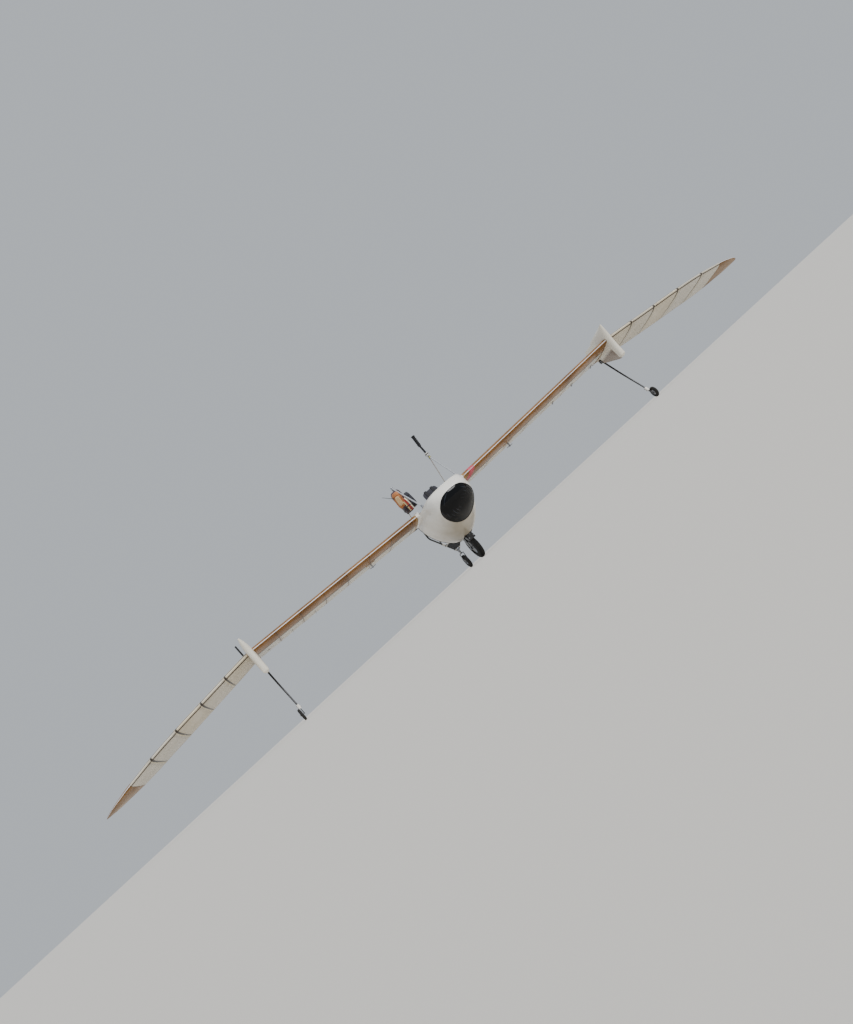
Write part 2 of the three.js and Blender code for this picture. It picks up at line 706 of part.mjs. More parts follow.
function tyre(centre, radius, width, rim) {
  const half = width / 2;
  const profile = [
    [rim, -half * 0.62], [radius * 0.8, -half], [radius * 0.92, -half * 0.92],
    [radius * 0.985, -half * 0.55], [radius, -half * 0.25], [radius, half * 0.25],
    [radius * 0.985, half * 0.55], [radius * 0.92, half * 0.92], [radius * 0.8, half],
    [rim, half * 0.62],
  ];
  return turned(profile, centre);
}

function hub(centre, rim, width, bore) {
  const half = width / 2;
  const profile = [
    [bore, -half], [bore * 2.7, -half], [rim * 0.8, -half * 0.35], [rim - GAP, -half * 0.64],
    [rim - GAP, half * 0.64], [rim * 0.8, half * 0.35], [bore * 2.7, half], [bore, half],
  ];
  return turned(profile, centre);
}

const MAIN_RIM = 150;
add("main_tyre", tyre(mainAxle, MAIN_R, MAIN_W, MAIN_RIM), "rubber");
add("main_hub", hub(mainAxle, MAIN_RIM, MAIN_W + 14, AXLE_R + GAP), "alloy");

// Tail frame: two bent tubes from the cross tube to the tail wheel's head, each with a thin brace
const TAIL_TUBE = 17;
const bendAt = (side) => v(side * 450, 615, 970);
const headAt = (side) => v(side * 26, TAIL_PIVOT_Y - 22, TAIL_PIVOT_Z + 22);

function onTube(side, share) {
  return new THREE.Vector3().lerpVectors(bendAt(side), headAt(side), share);
}

function tailTube(side, swell = 0) {
  const top = v(side * 450, CROSS_Y + 8, CROSS_Z - 10);
  const radius = TAIL_TUBE + swell;
  return union([
    bar(top, bendAt(side), radius),
    new THREE.SphereGeometry(radius, 12, 8).translate(...bendAt(side).toArray()),
    bar(bendAt(side), headAt(side), radius),
  ]);
}

function tailBrace(side) {
  return bar(v(side * 400, CROSS_Y, CROSS_Z - 10), onTube(side, 0.6), 8, 8);
}

const HEAD_R = 27;
const HEAD_LOW = TAIL_PIVOT_Z - 35;
add("tail_head", bar(v(0, TAIL_PIVOT_Y, HEAD_LOW), v(0, TAIL_PIVOT_Y, HEAD_LOW + 80), HEAD_R, 16), "steel");

function tailSide() {
  const headSpace = solid(bar(v(0, TAIL_PIVOT_Y, 0), v(0, TAIL_PIVOT_Y, 900), HEAD_R + GAP, 16));
  const whole = solid(tailTube(1)).add(solid(tailBrace(1)));
  const leftHalf = solid(block([GAP / 2, 0, 0], [900, 2000, 2000]));
  return geometryOf(whole.subtract(solid(crossTube(GAP))).subtract(headSpace).intersect(leftHalf));
}

addPair("tail_tube", tailSide(), "black");

function tailPanel() {
  const top = 0.58;
  const foot = 0.93;
  const corners = [onTube(-1, top), onTube(1, top), onTube(1, foot), onTube(-1, foot)];
  const across = new THREE.Vector3().subVectors(corners[2], corners[1]);
  const out = new THREE.Vector3().crossVectors(v(1, 0, 0), across).normalize().multiplyScalar(4);
  const rings = [-1, 1].map((k) => corners.map((p) => p.clone().addScaledVector(out, k)));
  const plate = solid(loft(rings, frontView));
  return geometryOf(plate.subtract(solid(tailTube(1, GAP))).subtract(solid(tailTube(-1, GAP))));
}

add("tail_panel", tailPanel(), "grey");

// Tail wheel in its swivelling fork
const tailAxle = v(0, TAIL_Y, TAIL_R * Math.cos(Math.PI / TYRE_STEPS));
const FORK_IN = TAIL_W / 2 + 7;
const FORK_OUT = FORK_IN + 7;
const CROWN_Z = 342;

function tailFork() {
  const legs = [-1, 1].map((side) => {
    const low = Math.min(side * FORK_IN, side * FORK_OUT);
    const high = Math.max(side * FORK_IN, side * FORK_OUT);
    const outline = [
      [TAIL_Y - 16, tailAxle.z - 18], [TAIL_Y + 16, tailAxle.z - 18], [TAIL_Y + 16, tailAxle.z + 12],
      [TAIL_PIVOT_Y + 26, CROWN_Z + 12], [TAIL_PIVOT_Y - 26, CROWN_Z + 12],
    ];
    return sidePlate(outline, low, high);
  });
  const crown = block([-FORK_OUT, TAIL_PIVOT_Y - 26, CROWN_Z], [FORK_OUT, TAIL_PIVOT_Y + 26, CROWN_Z + 14]);
  const stem = bar(v(0, TAIL_PIVOT_Y, CROWN_Z + 7), v(0, TAIL_PIVOT_Y, HEAD_LOW - GAP), 20, 16);
  const axle = bar(v(-FORK_OUT - 6, TAIL_Y, tailAxle.z), v(FORK_OUT + 6, TAIL_Y, tailAxle.z), 8, 12);
  return union([...legs, crown, stem, axle]);
}

const TAIL_RIM = 72;
add("tail_fork", tailFork(), "black");
add("tail_tyre", tyre(tailAxle, TAIL_R, TAIL_W, TAIL_RIM), "rubber");
add("tail_hub", hub(tailAxle, TAIL_RIM, TAIL_W + 10, 8 + GAP), "alloy");

// Side frames: an alloy tube from the pod's rim up to a joint beside the seat, and a stay down to the wing
const SIDE_TOP = v(482, -85, 2115);
const SIDE_FOOT = v(440, -760, 1395);
const STAY_FOOT = v(482, CROSS_Y - 4, CROSS_Z + 12);

function sideJoint(swell = 0) {
  return new THREE.SphereGeometry(26 + swell, 12, 8).translate(...SIDE_TOP.toArray());
}

function sideFrame(swell = 0) {
  const { x, y, z } = SIDE_FOOT;
  const tubes = union([
    bar(SIDE_FOOT, SIDE_TOP, 14 + swell, 10),
    bar(STAY_FOOT, SIDE_TOP, 11 + swell, 10),
    sideJoint(swell),
    block([x - 20, y - 26, z - 40], [x + 28, y + 26, z + 8]),
  ]);
  return geometryOf(solid(tubes).subtract(solid(crossTube(GAP))).intersect(solid(aboveRim(GAP))));
}

addPair("side_frame", sideFrame(), "alloy");

// Black mast with a ribbed and capped canister on the left side frame.
// Each of its three points lies so far out from and above the frame's joint.
const MAST = { foot: { out: 3, up: 26 }, middle: { out: 10, up: 262 }, top: { out: 34, up: 480 } };
const MAST_R = 21.5;
const CANISTER_R = 32;
const RIBS = { starts: [0.16, 0.34, 0.52, 0.7], length: 0.07, proud: 3 }; // as shares of the canister
const CAP = { proud: 8, long: 18 };

function mast() {
  const at = ({ out, up }) => v(SIDE_TOP.x + out, SIDE_TOP.y, SIDE_TOP.z + up);
  const [foot, middle, top] = [MAST.foot, MAST.middle, MAST.top].map(at);
  const along = (share) => new THREE.Vector3().lerpVectors(middle, top, share);
  const ribs = RIBS.starts.map((start) => {
    return bar(along(start), along(start + RIBS.length), CANISTER_R + RIBS.proud, 16);
  });
  const cap = bar(top, v(top.x + 2, top.y, top.z + CAP.long), CANISTER_R + CAP.proud, 16);
  const shape = solid(union([bar(foot, middle, MAST_R), bar(middle, top, CANISTER_R, 16), ...ribs, cap]));
  return geometryOf(shape.subtract(solid(sideJoint(GAP))));
}

add("canister_mast", mast(), "black");

// Soft pack on the right side frame
const bagOutline = [
  [-240, 1600], [-190, 1545], [-50, 1530], [35, 1650], [20, 1860], [-60, 2040], [-135, 2050],
  [-256, 1930],
];
const BAG_SIDES = { outer: -610, inner: -395 };
const bag = solid(sidePlate(bagOutline, BAG_SIDES.outer, BAG_SIDES.inner));
const rightFrame = solid(mirrored(sideFrame(GAP)));
add("side_pack", geometryOf(bag.subtract(rightFrame)), "canvas");

// Short black post on the right wing, outboard of the fin
const POST_X = -4500;
const POST_Y = -635;
function wingPost() {
  const post = solid(bar(v(POST_X, POST_Y, 1400), v(POST_X, POST_Y, 1735), 16, 12));
  const wing = solid(outerWing()).mirror([1, 0, 0]);
  const cut = wing.translate([0, 0, GAP]);
  const above = solid(block([POST_X - 40, POST_Y - 40, 1430], [POST_X + 40, POST_Y + 40, 1800]));
  return geometryOf(post.intersect(above).subtract(cut));
}
add("wing_post", wingPost(), "black");

// Control horns under the inner wing panels, at the fifth rib from the fin
const HORN_X = 1770;
function controlHorn() {
  const station = stationAt(HORN_X);
  const seat = sectionPoint(station, 0.42, -1);
  const arm = block([HORN_X - 8, seat.y - 30, seat.z - 90], [HORN_X + 8, seat.y + 20, seat.z + 30]);
  const rod = bar(v(HORN_X - 70, seat.y - 5, seat.z - 72), v(HORN_X + 60, seat.y - 5, seat.z - 72), 7, 8);
  return geometryOf(solid(union([arm, rod])).subtract(solid(rearPanel()).translate([0, 0, -GAP])));
}
addPair("control_horn", controlHorn(), "steel");

export default glider;
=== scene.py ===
"""Looks of a tailless gull-wing sailplane, in metres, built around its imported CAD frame.

The ground is z = 0, the nose points to -Y and +X is the aircraft's left.
"""

import logging
import math
from collections.abc import Callable, Iterator, Sequence
from contextlib import contextmanager
from dataclasses import dataclass
from enum import Enum

import bmesh
import bpy
import numpy as np
from mathutils import Matrix, Vector


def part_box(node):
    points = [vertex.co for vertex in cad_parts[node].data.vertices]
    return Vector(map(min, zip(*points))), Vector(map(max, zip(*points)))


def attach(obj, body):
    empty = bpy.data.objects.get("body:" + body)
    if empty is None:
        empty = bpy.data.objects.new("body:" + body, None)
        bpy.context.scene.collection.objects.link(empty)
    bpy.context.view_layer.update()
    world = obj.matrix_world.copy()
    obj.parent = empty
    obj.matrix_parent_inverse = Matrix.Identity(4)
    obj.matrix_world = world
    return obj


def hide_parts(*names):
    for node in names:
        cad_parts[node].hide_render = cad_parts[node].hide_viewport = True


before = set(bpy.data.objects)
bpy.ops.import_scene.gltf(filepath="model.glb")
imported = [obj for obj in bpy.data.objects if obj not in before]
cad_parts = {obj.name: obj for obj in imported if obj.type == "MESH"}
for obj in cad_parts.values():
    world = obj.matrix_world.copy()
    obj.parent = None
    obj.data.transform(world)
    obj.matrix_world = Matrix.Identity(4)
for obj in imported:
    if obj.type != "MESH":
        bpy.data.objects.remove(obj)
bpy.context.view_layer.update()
LOG = logging.getLogger("sailplane")

Array = np.ndarray
Numbers = Array | float
Point = tuple[float, float, float]
Profile = Sequence[tuple[float, float]]
Row = tuple[float, ...]
Colour = tuple[float, float, float, float]
Thing = bpy.types.Object
Mesh = bpy.types.Mesh
Tree = bpy.types.NodeTree
Node = bpy.types.Node
Socket = bpy.types.NodeSocket
Inputs = dict[str, object]

MM = 0.001
SOFT_CREASE = 34.0  # degrees: edges that bend more get a soft bevel

# Places along the wing's span, and the tube that crosses the pod behind the seat
ROOT = 0.59
FIRST_RIB = 0.73
RIB_PITCH = 0.52
BREAK_INNER = 4.305
BREAK_OUTER = 4.435
OUTER_FIRST_RIB = 4.96
OUTER_PITCH = 0.53
LAST_RIB = 6.985
CROSS_TUBE_YZ = (0.49, 1.272)
CROSS_TUBE_RADIUS = 19 * MM


class Side(Enum):
    """The two halves of the aircraft, with the sign of X on each."""

    LEFT = 1
    RIGHT = -1

    @property
    def word(self) -> str:
        """The side's name, as the CAD nodes end in it."""
        return self.name.lower()


class Axis(Enum):
    """The axes that round pieces are turned about."""

    X = (1.0, 0.0, 0.0)
    Y = (0.0, 1.0, 0.0)
    Z = (0.0, 0.0, 1.0)


def srgb(code: str) -> Colour:
    """Turns an sRGB hex colour into Blender's linear one.

    Args:
        code: Six hex digits, two each for red, green and blue.

    Returns:
        The linear colour, fully opaque.
    """
    parts = np.array([int(code[i : i + 2], 16) for i in (0, 2, 4)]) / 255
    linear = np.where(parts <= 0.04045, parts / 12.92, ((parts + 0.055) / 1.055) ** 2.4)
    return (float(linear[0]), float(linear[1]), float(linear[2]), 1.0)


def feed(node: Node, name: str | int, value: object) -> None:
    """Feeds one input of a node.

    Args:
        node: The node.
        name: The input's name or number.
        value: Another node, an output socket or a plain value.
    """
    if isinstance(value, Node):
        value = value.outputs[0]
    if isinstance(value, Socket):
        node.id_data.links.new(value, node.inputs[name])
    else:
        node.inputs[name].default_value = value


def put(tree: Tree, kind: str, inputs: Inputs | Sequence[object] = (), **settings: object) -> Node:
    """Adds a shader node with its settings and links.

    Args:
        tree: The material's node tree.
        kind: The node's type without its leading "ShaderNode".
        inputs: A node, an output socket or a plain value for each input, by name or in order.
        **settings: Properties of the node.

    Returns:
        The new node.
    """
    made = tree.nodes.new("ShaderNode" + kind)
    for key, value in settings.items():
        setattr(made, key, value)
    for name, value in inputs.items() if isinstance(inputs, dict) else enumerate(inputs):
        feed(made, name, value)
    return made


# Shapes as grids of points


def linked(name: str, data: bpy.types.ID) -> Thing:
    """Adds a new object to the scene.

    Args:
        name: The object's name.
        data: Its mesh, light or camera.

    Returns:
        The object.
    """
    obj = bpy.data.objects.new(name, data)
    bpy.context.scene.collection.objects.link(obj)
    return obj


@contextmanager
def editing(mesh: Mesh) -> Iterator[bmesh.types.BMesh]:
    """Opens a mesh for work on its faces and writes the work back."""
    work = bmesh.new()
    work.from_mesh(mesh)
    yield work
    work.to_mesh(mesh)
    work.free()


def lattice(
    name: str,
    points: Array,
    around: bool = False,
    endless: bool = False,
    capped: bool = False,
    uv: Array | None = None,
    crease: float = 38.0,
) -> Thing:
    """Makes a mesh from a grid of points.

    Quad (i, j) joins the points (i, j), (i, j + 1), (i + 1, j + 1) and (i + 1, j).

    Args:
        name: The object's name.
        points: Rows by columns by 3, in metres.
        around: Joins the last column to the first.
        endless: Joins the last row to the first.
        capped: Closes the first and the last row with one face each.
        uv: Rows by columns by 2, kept as the UV map "surface".
        crease: Edges that bend more than this many degrees stay sharp.

    Returns:
        The object, at the origin, with its faces outwards.
    """
    rows, columns = points.shape[:2]
    i = np.arange(rows if endless else rows - 1)[:, None]
    j = np.arange(columns if around else columns - 1)[None, :]
    above = (i + 1) % rows
    beside = (j + 1) % columns
    corners = [i * columns + j, i * columns + beside, above * columns + beside, above * columns + j]
    faces = np.stack(corners, axis=-1).reshape(-1, 4).tolist()
    if capped:
        faces.append(list(range(columns))[::-1])
        faces.append(list(range((rows - 1) * columns, rows * columns)))
    mesh = bpy.data.meshes.new(name)
    mesh.from_pydata(points.reshape(-1, 3).tolist(), [], faces)
    if uv is not None:
        loops = np.empty(len(mesh.loops), dtype=np.int32)
        mesh.loops.foreach_get("vertex_index", loops)
        mesh.uv_layers.new(name="surface").data.foreach_set("uv", uv.reshape(-1, 2)[loops].ravel())
    close_up(mesh, crease)
    return linked(name, mesh)


def close_up(mesh: Mesh, crease: float, reach: float = 1e-6) -> None:
    """Merges a mesh's double points, turns its faces outwards and sets its smooth shading.

    Args:
        mesh: The mesh to finish.
        crease: Edges that bend more than this many degrees stay sharp.
        reach: Points closer than this many metres become one.
    """
    with editing(mesh) as work:
        bmesh.ops.remove_doubles(work, verts=work.verts[:], dist=reach)
        bmesh.ops.recalc_face_normals(work, faces=work.faces[:])
    mesh.shade_smooth()
    mesh.set_sharp_from_angle(angle=math.radians(crease))


def unit(vectors: Array | Sequence) -> Array:
    """Scales vectors, held in the last index, to a length of one."""
    vectors = np.asarray(vectors, dtype=float)
    return vectors / np.maximum(np.linalg.norm(vectors, axis=-1, keepdims=True), 1e-12)


def lofted(name: str, side: Side, rings: Array, uv: Array | None = None, crease: float = 38.0) -> Thing:
    """Makes one side's closed piece, capped at both ends, from rings given for the left side."""
    return lattice(name, mirrored_x(rings, side), around=True, capped=True, uv=uv, crease=crease)


def steps_along(path: Array, endless: bool) -> Array:
    """Finds the way a path runs at each of its points.

    Args:
        path: Points, one to a row.
        endless: Whether the last point leads back to the first.

    Returns:
        One vector for each point.
    """
    padded = np.vstack([path[-1:], path, path[:1]]) if endless else path
    along = np.gradient(padded, axis=0)
    return along[1:-1] if endless else along


def gathered(*parts: Numbers) -> Array:
    """Joins coordinates, each of which may be one for a whole row or column, into points."""
    return np.stack(np.broadcast_arrays(*parts), axis=-1)


def circle(steps: int) -> Array:
    """Angles of one turn in equal steps."""
    return np.linspace(0, 2 * math.pi, steps, endpoint=False)


def signed_power(value: Array, power: Numbers) -> Array:
    """Raises values to a power and keeps their sign."""
    return np.sign(value) * np.abs(value) ** power


def tube(name: str, path: Array, radius: Numbers, sides: int = 16, endless: bool = False) -> Thing:
    """Sweeps a round section along a path.

    Each ring is its path point plus radius times (cos a times the sideways vector plus sin a
    times the one square to it).

    Args:
        name: The object's name.
        path: Points of the centre line.
        radius: One radius, or one for each point.
        sides: Flats around the section.
        endless: Joins the path's end to its start.

    Returns:
        The closed tube.
    """
    path = np.asarray(path, dtype=float)
    along = unit(steps_along(path, endless))
    least = np.eye(3)[np.abs(along).max(axis=0).argmin()]
    side = unit(np.cross(along, least))
    over = np.cross(side, along)
    angle = circle(sides)[None, :, None]
    reach = np.broadcast_to(np.asarray(radius, dtype=float), (len(path),))[:, None, None]
    ring = reach * (np.cos(angle) * side[:, None] + np.sin(angle) * over[:, None])
    return lattice(name, path[:, None] + ring, around=True, endless=endless, capped=not endless, crease=50)


def straight(start: Sequence[float], end: Sequence[float], steps: int = 2) -> Array:
    """Points in a straight line from start to end."""
    share = np.linspace(0, 1, steps)[:, None]
    return np.asarray(start) + (np.asarray(end) - np.asarray(start)) * share


def flowing(points: Sequence[Sequence[float]], steps: int) -> Array:
    """Draws a smooth line through a few points.

    Between two points it is a cubic whose end slopes are half the step between their neighbours.

    Args:
        points: The points to pass through.
        steps: How many points the line gets.

    Returns:
        The line's points, one to a row.
    """
    given = np.asarray(points, dtype=float)
    knots = np.vstack([2 * given[0] - given[1], given, 2 * given[-1] - given[-2]])
    place = np.linspace(0, len(given) - 1, steps)
    i = np.minimum(place.astype(int), len(given) - 2)
    t = (place - i)[:, None]
    a, b, c, d = knots[i], knots[i + 1], knots[i + 2], knots[i + 3]
    return 0.5 * (2 * b + (c - a) * t + (2 * a - 5 * b + 4 * c - d) * t**2 + (3 * b - a - 3 * c + d) * t**3)


def eased(place: Array, knots: Array | Row, values: Row) -> Array:
    """Reads a table along a smooth line that never overshoots it.

    Each stretch is a cubic. A slope at a knot is the harmonic mean of the slopes beside it,
    and zero where the table turns.

    Args:
        place: Where to read.
        knots: The table's places, rising.
        values: The table's values.

    Returns:
        The values at place.
    """
    knots = np.asarray(knots, dtype=float)
    values = np.asarray(values, dtype=float)
    step = np.diff(knots)
    rise = np.diff(values) / step
    same = rise[:-1] * rise[1:] > 0
    total = np.where(same, rise[:-1] + rise[1:], 1.0)
    slope = np.concatenate([rise[:1], np.where(same, 2 * rise[:-1] * rise[1:] / total, 0.0), rise[-1:]])
    i = np.clip(np.searchsorted(knots, place, side="right") - 1, 0, len(step) - 1)
    t = (place - knots[i]) / step[i]
    start = (1 + 2 * t) * (1 - t) ** 2 * values[i] + t * (1 - t) ** 2 * step[i] * slope[i]
    return start + t**2 * (3 - 2 * t) * values[i + 1] + t**2 * (t - 1) * step[i] * slope[i + 1]


def turned(
    name: str,
    profile: Profile,
    centre: Sequence[float],
    axis: Axis | Sequence[float],
    steps: int,
    relief: Numbers = 0.0,
    crease: float = 30.0,
) -> Thing:
    """Turns a profile about an axis.

    A point is the centre plus its place along the axis plus its radius times
    (cos a times one vector square to the axis plus sin a times the other). A profile that starts
    off the axis is closed to a ring.

    Args:
        name: The object's name.
        profile: Pairs of radius and place along the axis.
        centre: The axis's origin.
        axis: The axis itself.
        steps: Flats around the axis.
        relief: Extra radius, profile points by steps.
        crease: Edges that bend more than this many degrees stay sharp.

    Returns:
        The closed piece.
    """
    line = unit(axis.value if isinstance(axis, Axis) else axis)
    one = unit(np.cross(line, np.eye(3)[np.abs(line).argmin()]))
    two = np.cross(line, one)
    angle = circle(steps)[None, :, None]
    radius, along = np.asarray(profile, dtype=float).T[:, :, None]
    around = np.cos(angle) * one + np.sin(angle) * two
    points = np.asarray(centre) + along[:, :, None] * line + (radius + relief)[:, :, None] * around
    return lattice(name, points, around=True, endless=radius[0, 0] > 0, crease=crease)


def both_ends(first: Profile) -> Profile:
    """Completes a profile, given from one end to its middle, with its mirror image."""
    return [*first, *((radius, -place) for radius, place in reversed(first))]


def collar(bore: float, radius: float, half: float, shoulder: float, edge: float) -> Profile:
    """Gives a round band's profile, whose ends are smaller by the shoulder as far in as the edge."""
    return both_ends([(bore, -half), (radius - shoulder, -half), (radius, edge - half)])


def cleaned_copy(node: str, name: str, bevel: float) -> Thing:
    """Copies a CAD node and gives the copy joined faces, smooth tubes and softened edges.

    Args:
        node: The CAD node.
        name: The copy's name.
        bevel: Width of the softened edges.

    Returns:
        The copy, at the origin.
    """
    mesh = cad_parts[node].data.copy()
    mesh.name = name
    mesh.materials.clear()
    close_up(mesh, SOFT_CREASE, 1e-5)
    with editing(mesh) as work:
        flat = math.radians(0.6)
        bmesh.ops.dissolve_limit(work, angle_limit=flat, verts=work.verts[:], edges=work.edges[:])
    obj = linked(name, mesh)
    soften(obj, bevel)
    return obj


def soften(obj: Thing, width: float, crease: float = SOFT_CREASE) -> None:
    """Rounds a piece's sharp edges with a bevel.

    Args:
        obj: The piece.
        width: Width of the bevel.
        crease: Edges that bend more than this many degrees are rounded.
    """
    bevel = obj.modifiers.new("soft edges", "BEVEL")
    bevel.width = width
    bevel.segments = 2
    bevel.limit_method = "ANGLE"
    bevel.angle_limit = math.radians(crease)
    bevel.harden_normals = True


def joined(name: str, parts: Sequence[Thing]) -> Thing:
    """Joins pieces of one finish into one object.

    Args:
        name: The new object's name.
        parts: The pieces, which are used up.

    Returns:
        The joined object, without modifiers.
    """
    mesh = bpy.data.meshes.new(name)
    with editing(mesh) as work:
        for part in parts:
            work.from_mesh(part.data)
    for part in parts:
        bpy.data.objects.remove(part)
    return linked(name, mesh)


def bisected(
    work: bmesh.types.BMesh, point: Sequence[float], normal: Sequence[float], **settings: bool
) -> dict:
    """Splits a mesh along the plane through a point, square to a normal."""
    geom = work.verts[:] + work.edges[:] + work.faces[:]
    return bmesh.ops.bisect_plane(work, geom=geom, dist=1e-6, plane_co=point, plane_no=normal, **settings)


def trimmed(obj: Thing, point: Sequence[float], away: Sequence[float], close: bool = False) -> None:
    """Cuts off all of a piece that lies beyond a plane.

    Args:
        obj: The piece.
        point: A point of the plane.
        away: The plane's normal, towards what is cut off.
        close: Fills the cut, for a closed piece.
    """
    with editing(obj.data) as work:
        cut = bisected(work, point, away, clear_outer=True)
        if close:
            edges = [part for part in cut["geom_cut"] if isinstance(part, bmesh.types.BMEdge)]
            bmesh.ops.edgeloop_fill(work, edges=edges)
            bmesh.ops.recalc_face_normals(work, faces=work.faces[:])


def mirrored_x(points: Array | Sequence[Point], side: Side) -> Array:
    """The same points on either side of the aircraft."""
    return np.asarray(points) * (side.value, 1.0, 1.0)


# Finishes


@dataclass(frozen=True)
class Finish:
    """What a surface is made of. Each kind paints its own nodes."""

    name: str
    slot: str

    def material(self) -> bpy.types.Material:
        """The Blender material of this finish, made on its first use."""
        made = bpy.data.materials.get(self.name)
        if made is None:
            made = bpy.data.materials.new(self.name)
            made.use_nodes = True
            tree = made.node_tree
            tree.nodes.clear()
            place = put(tree, "TexCoord").outputs["Object"]
            shader = put(tree, "BsdfPrincipled", self.paint(tree, place))
            put(tree, "OutputMaterial", {"Surface": shader})
        return made

    def paint(self, tree: Tree, place: Socket) -> Inputs:
        """Builds the nodes.

        Args:
            tree: The material's node tree.
            place: The object's own coordinates.

        Returns:
            What feeds each input of the Principled shader.
        """
        raise NotImplementedError


@dataclass(frozen=True)
class Moulded(Finish):
    """An even surface with cloudy colour, fine grain and dirt: gelcoat, enamel, rubber or plastic."""

    colour: str
    dirt: str
    rough: float
    grain: float = 3 * MM
    depth: float = 0.15
    cloud: float = 0.25
    metal: float = 0.0
    coat: float = 0.0
    sheen: float = 0.0

    def paint(self, tree: Tree, place: Socket) -> Inputs:
        """Mixes the colour with dirt by broad noise, and lifts the surface by fine noise."""
        broad = put(tree, "TexNoise", {"Vector": place, "Scale": 1 / 0.22, "Detail": 4.0, "Roughness": 0.62})
        share = put(tree, "MapRange", (broad, 0.42, 0.78, 0.0, self.cloud))
        mix = put(tree, "MixRGB", (share, srgb(self.colour), srgb(self.dirt)))
        low, high = self.rough * 0.85, min(self.rough * 1.25, 1.0)
        rough = put(tree, "MapRange", (broad, 0.35, 0.7, low, high))
        fine = put(tree, "TexNoise", {"Vector": place, "Scale": 1 / self.grain, "Detail": 3.0})
        bump = put(tree, "Bump", {"Strength": self.depth, "Distance": self.grain * 0.3, "Height": fine})
        gloss = {"Coat Weight": self.coat, "Coat Roughness": 0.06, "Sheen Weight": self.sheen}
        return {"Base Color": mix, "Roughness": rough, "Normal": bump, "Metallic": self.metal, **gloss}


@dataclass(frozen=True)
class DrawnMetal(Finish):
    """Drawn or machined metal, bright with long fine scratches along one axis."""

    colour: str
    rough: float
    along: Axis = Axis.Z
    scratch: float = 1.2 * MM

    def paint(self, tree: Tree, place: Socket) -> Inputs:
        """Stretches fine noise sixty times along the draw direction, for colour, gloss and bump."""
        across = 1 / self.scratch
        stretch = [across if part == 0 else across / 60 for part in self.along.value]
        drawn = put(tree, "Mapping", {"Vector": place, "Scale": stretch})
        lines = put(tree, "TexNoise", {"Vector": drawn, "Scale": 1.0, "Detail": 2.0})
        shade = put(tree, "MapRange", (lines, 0.3, 0.7, 0.72))
        mix = put(tree, "MixRGB", (1.0, srgb(self.colour), shade), blend_type="MULTIPLY")
        rough = put(tree, "MapRange", (lines, 0.3, 0.7, self.rough, self.rough * 1.6))
        bump = put(tree, "Bump", {"Strength": 0.12, "Distance": self.scratch * 0.2, "Height": lines})
        return {"Base Color": mix, "Roughness": rough, "Normal": bump, "Metallic": 1.0}


def crossed(tree: Tree, waves: Inputs, ways: tuple[str, str], operation: str) -> Node:
    """Crosses two waves of the same inputs, which run two ways, into a weave."""
    one, two = (put(tree, "TexWave", waves, bands_direction=way).outputs["Fac"] for way in ways)
    return put(tree, "Math", (one, two), operation=operation)


@dataclass(frozen=True)
class Webbing(Finish):
    """Flat woven strap: slanted rows of thread across its width."""

    colour: str
    thread: str
    pitch: float = 4 * MM  # drawn coarse, as real threads lie 1.5 mm apart and wouldn't show

    def paint(self, tree: Tree, place: Socket) -> Inputs:
        """Two crossing waves make the weave, for colour and bump."""
        waves = {"Vector": place, "Scale": 0.32 / self.pitch, "Distortion": 0.4}
        weave = crossed(tree, waves, ("DIAGONAL", "Z"), "MAXIMUM")
        mix = put(tree, "MixRGB", (weave, srgb(self.thread), srgb(self.colour)))
        bump = put(tree, "Bump", {"Strength": 0.5, "Distance": 0.6 * MM, "Height": weave})
        return {"Base Color": mix, "Normal": bump, "Roughness": 0.82, "Sheen Weight": 0.25}


@dataclass(frozen=True)
class TintedAcrylic(Finish):
    """Blown acrylic, so dark that it looks black, with faint lighter rings that are painted reflections."""

    colour: str
    # Colour of the painted ring reflections.
    ring: str
    centre: Point
    rings: float = 62 * MM

    def paint(self, tree: Tree, place: Socket) -> Inputs:
        """Rings round the nose, painted reflections broken up by noise, lighten the dark tint."""
        middle = put(tree, "Mapping", {"Vector": place, "Location": [-part for part in self.centre]})
        waves = {"Vector": middle, "Scale": 0.314 / self.rings, "Distortion": 1.2, "Detail": 1.0}
        turns = put(tree, "TexWave", waves, wave_type="RINGS", rings_direction="SPHERICAL")
        thin = put(tree, "MapRange", (turns.outputs["Fac"], 0.9, 1.0))
        noise = put(tree, "TexNoise", {"Vector": middle, "Scale": 5.0, "Detail": 1.0})
        broken = put(tree, "MapRange", (noise, 0.5, 0.66, 0.0, 0.55))
        share = put(tree, "Math", (thin, broken), operation="MULTIPLY")
        mix = put(tree, "MixRGB", (share, srgb(self.colour), srgb(self.ring)))
        smear = put(tree, "TexNoise", {"Vector": place, "Scale": 11.0, "Detail": 3.0})
        rough = put(tree, "MapRange", (smear, 0.35, 0.7, 0.05, 0.16))
        gloss = {"Specular IOR Level": 0.22, "Coat Weight": 0.05, "Coat Roughness": 0.04}
        return {"Base Color": mix, "Roughness": rough, **gloss}


def wing_map(tree: Tree) -> tuple[Socket, Socket]:
    """Reads the wing's own map: the span in metres and the share of the chord."""
    span, share, _ = put(tree, "SeparateXYZ", (put(tree, "UVMap", uv_map="surface"),)).outputs
    return span, share


def rib_gap(tree: Tree, span: Socket, first: float, pitch: float) -> Node:
    """Measures how far the nearest rib is: the ping-pong of the span past one of the ribs."""
    past = put(tree, "Math", (span, first), operation="SUBTRACT")
    return put(tree, "Math", (past, pitch / 2), operation="PINGPONG")


def rib_line(tree: Tree, span: Socket, first: float, pitch: float, width: float) -> Node:
    """Marks a line of some width at every rib: 1 on the line and 0 off it."""
    gap = rib_gap(tree, span, first, pitch)
    return put(tree, "MapRange", (gap, width * 0.35, width * 0.65, 1.0, 0.0))


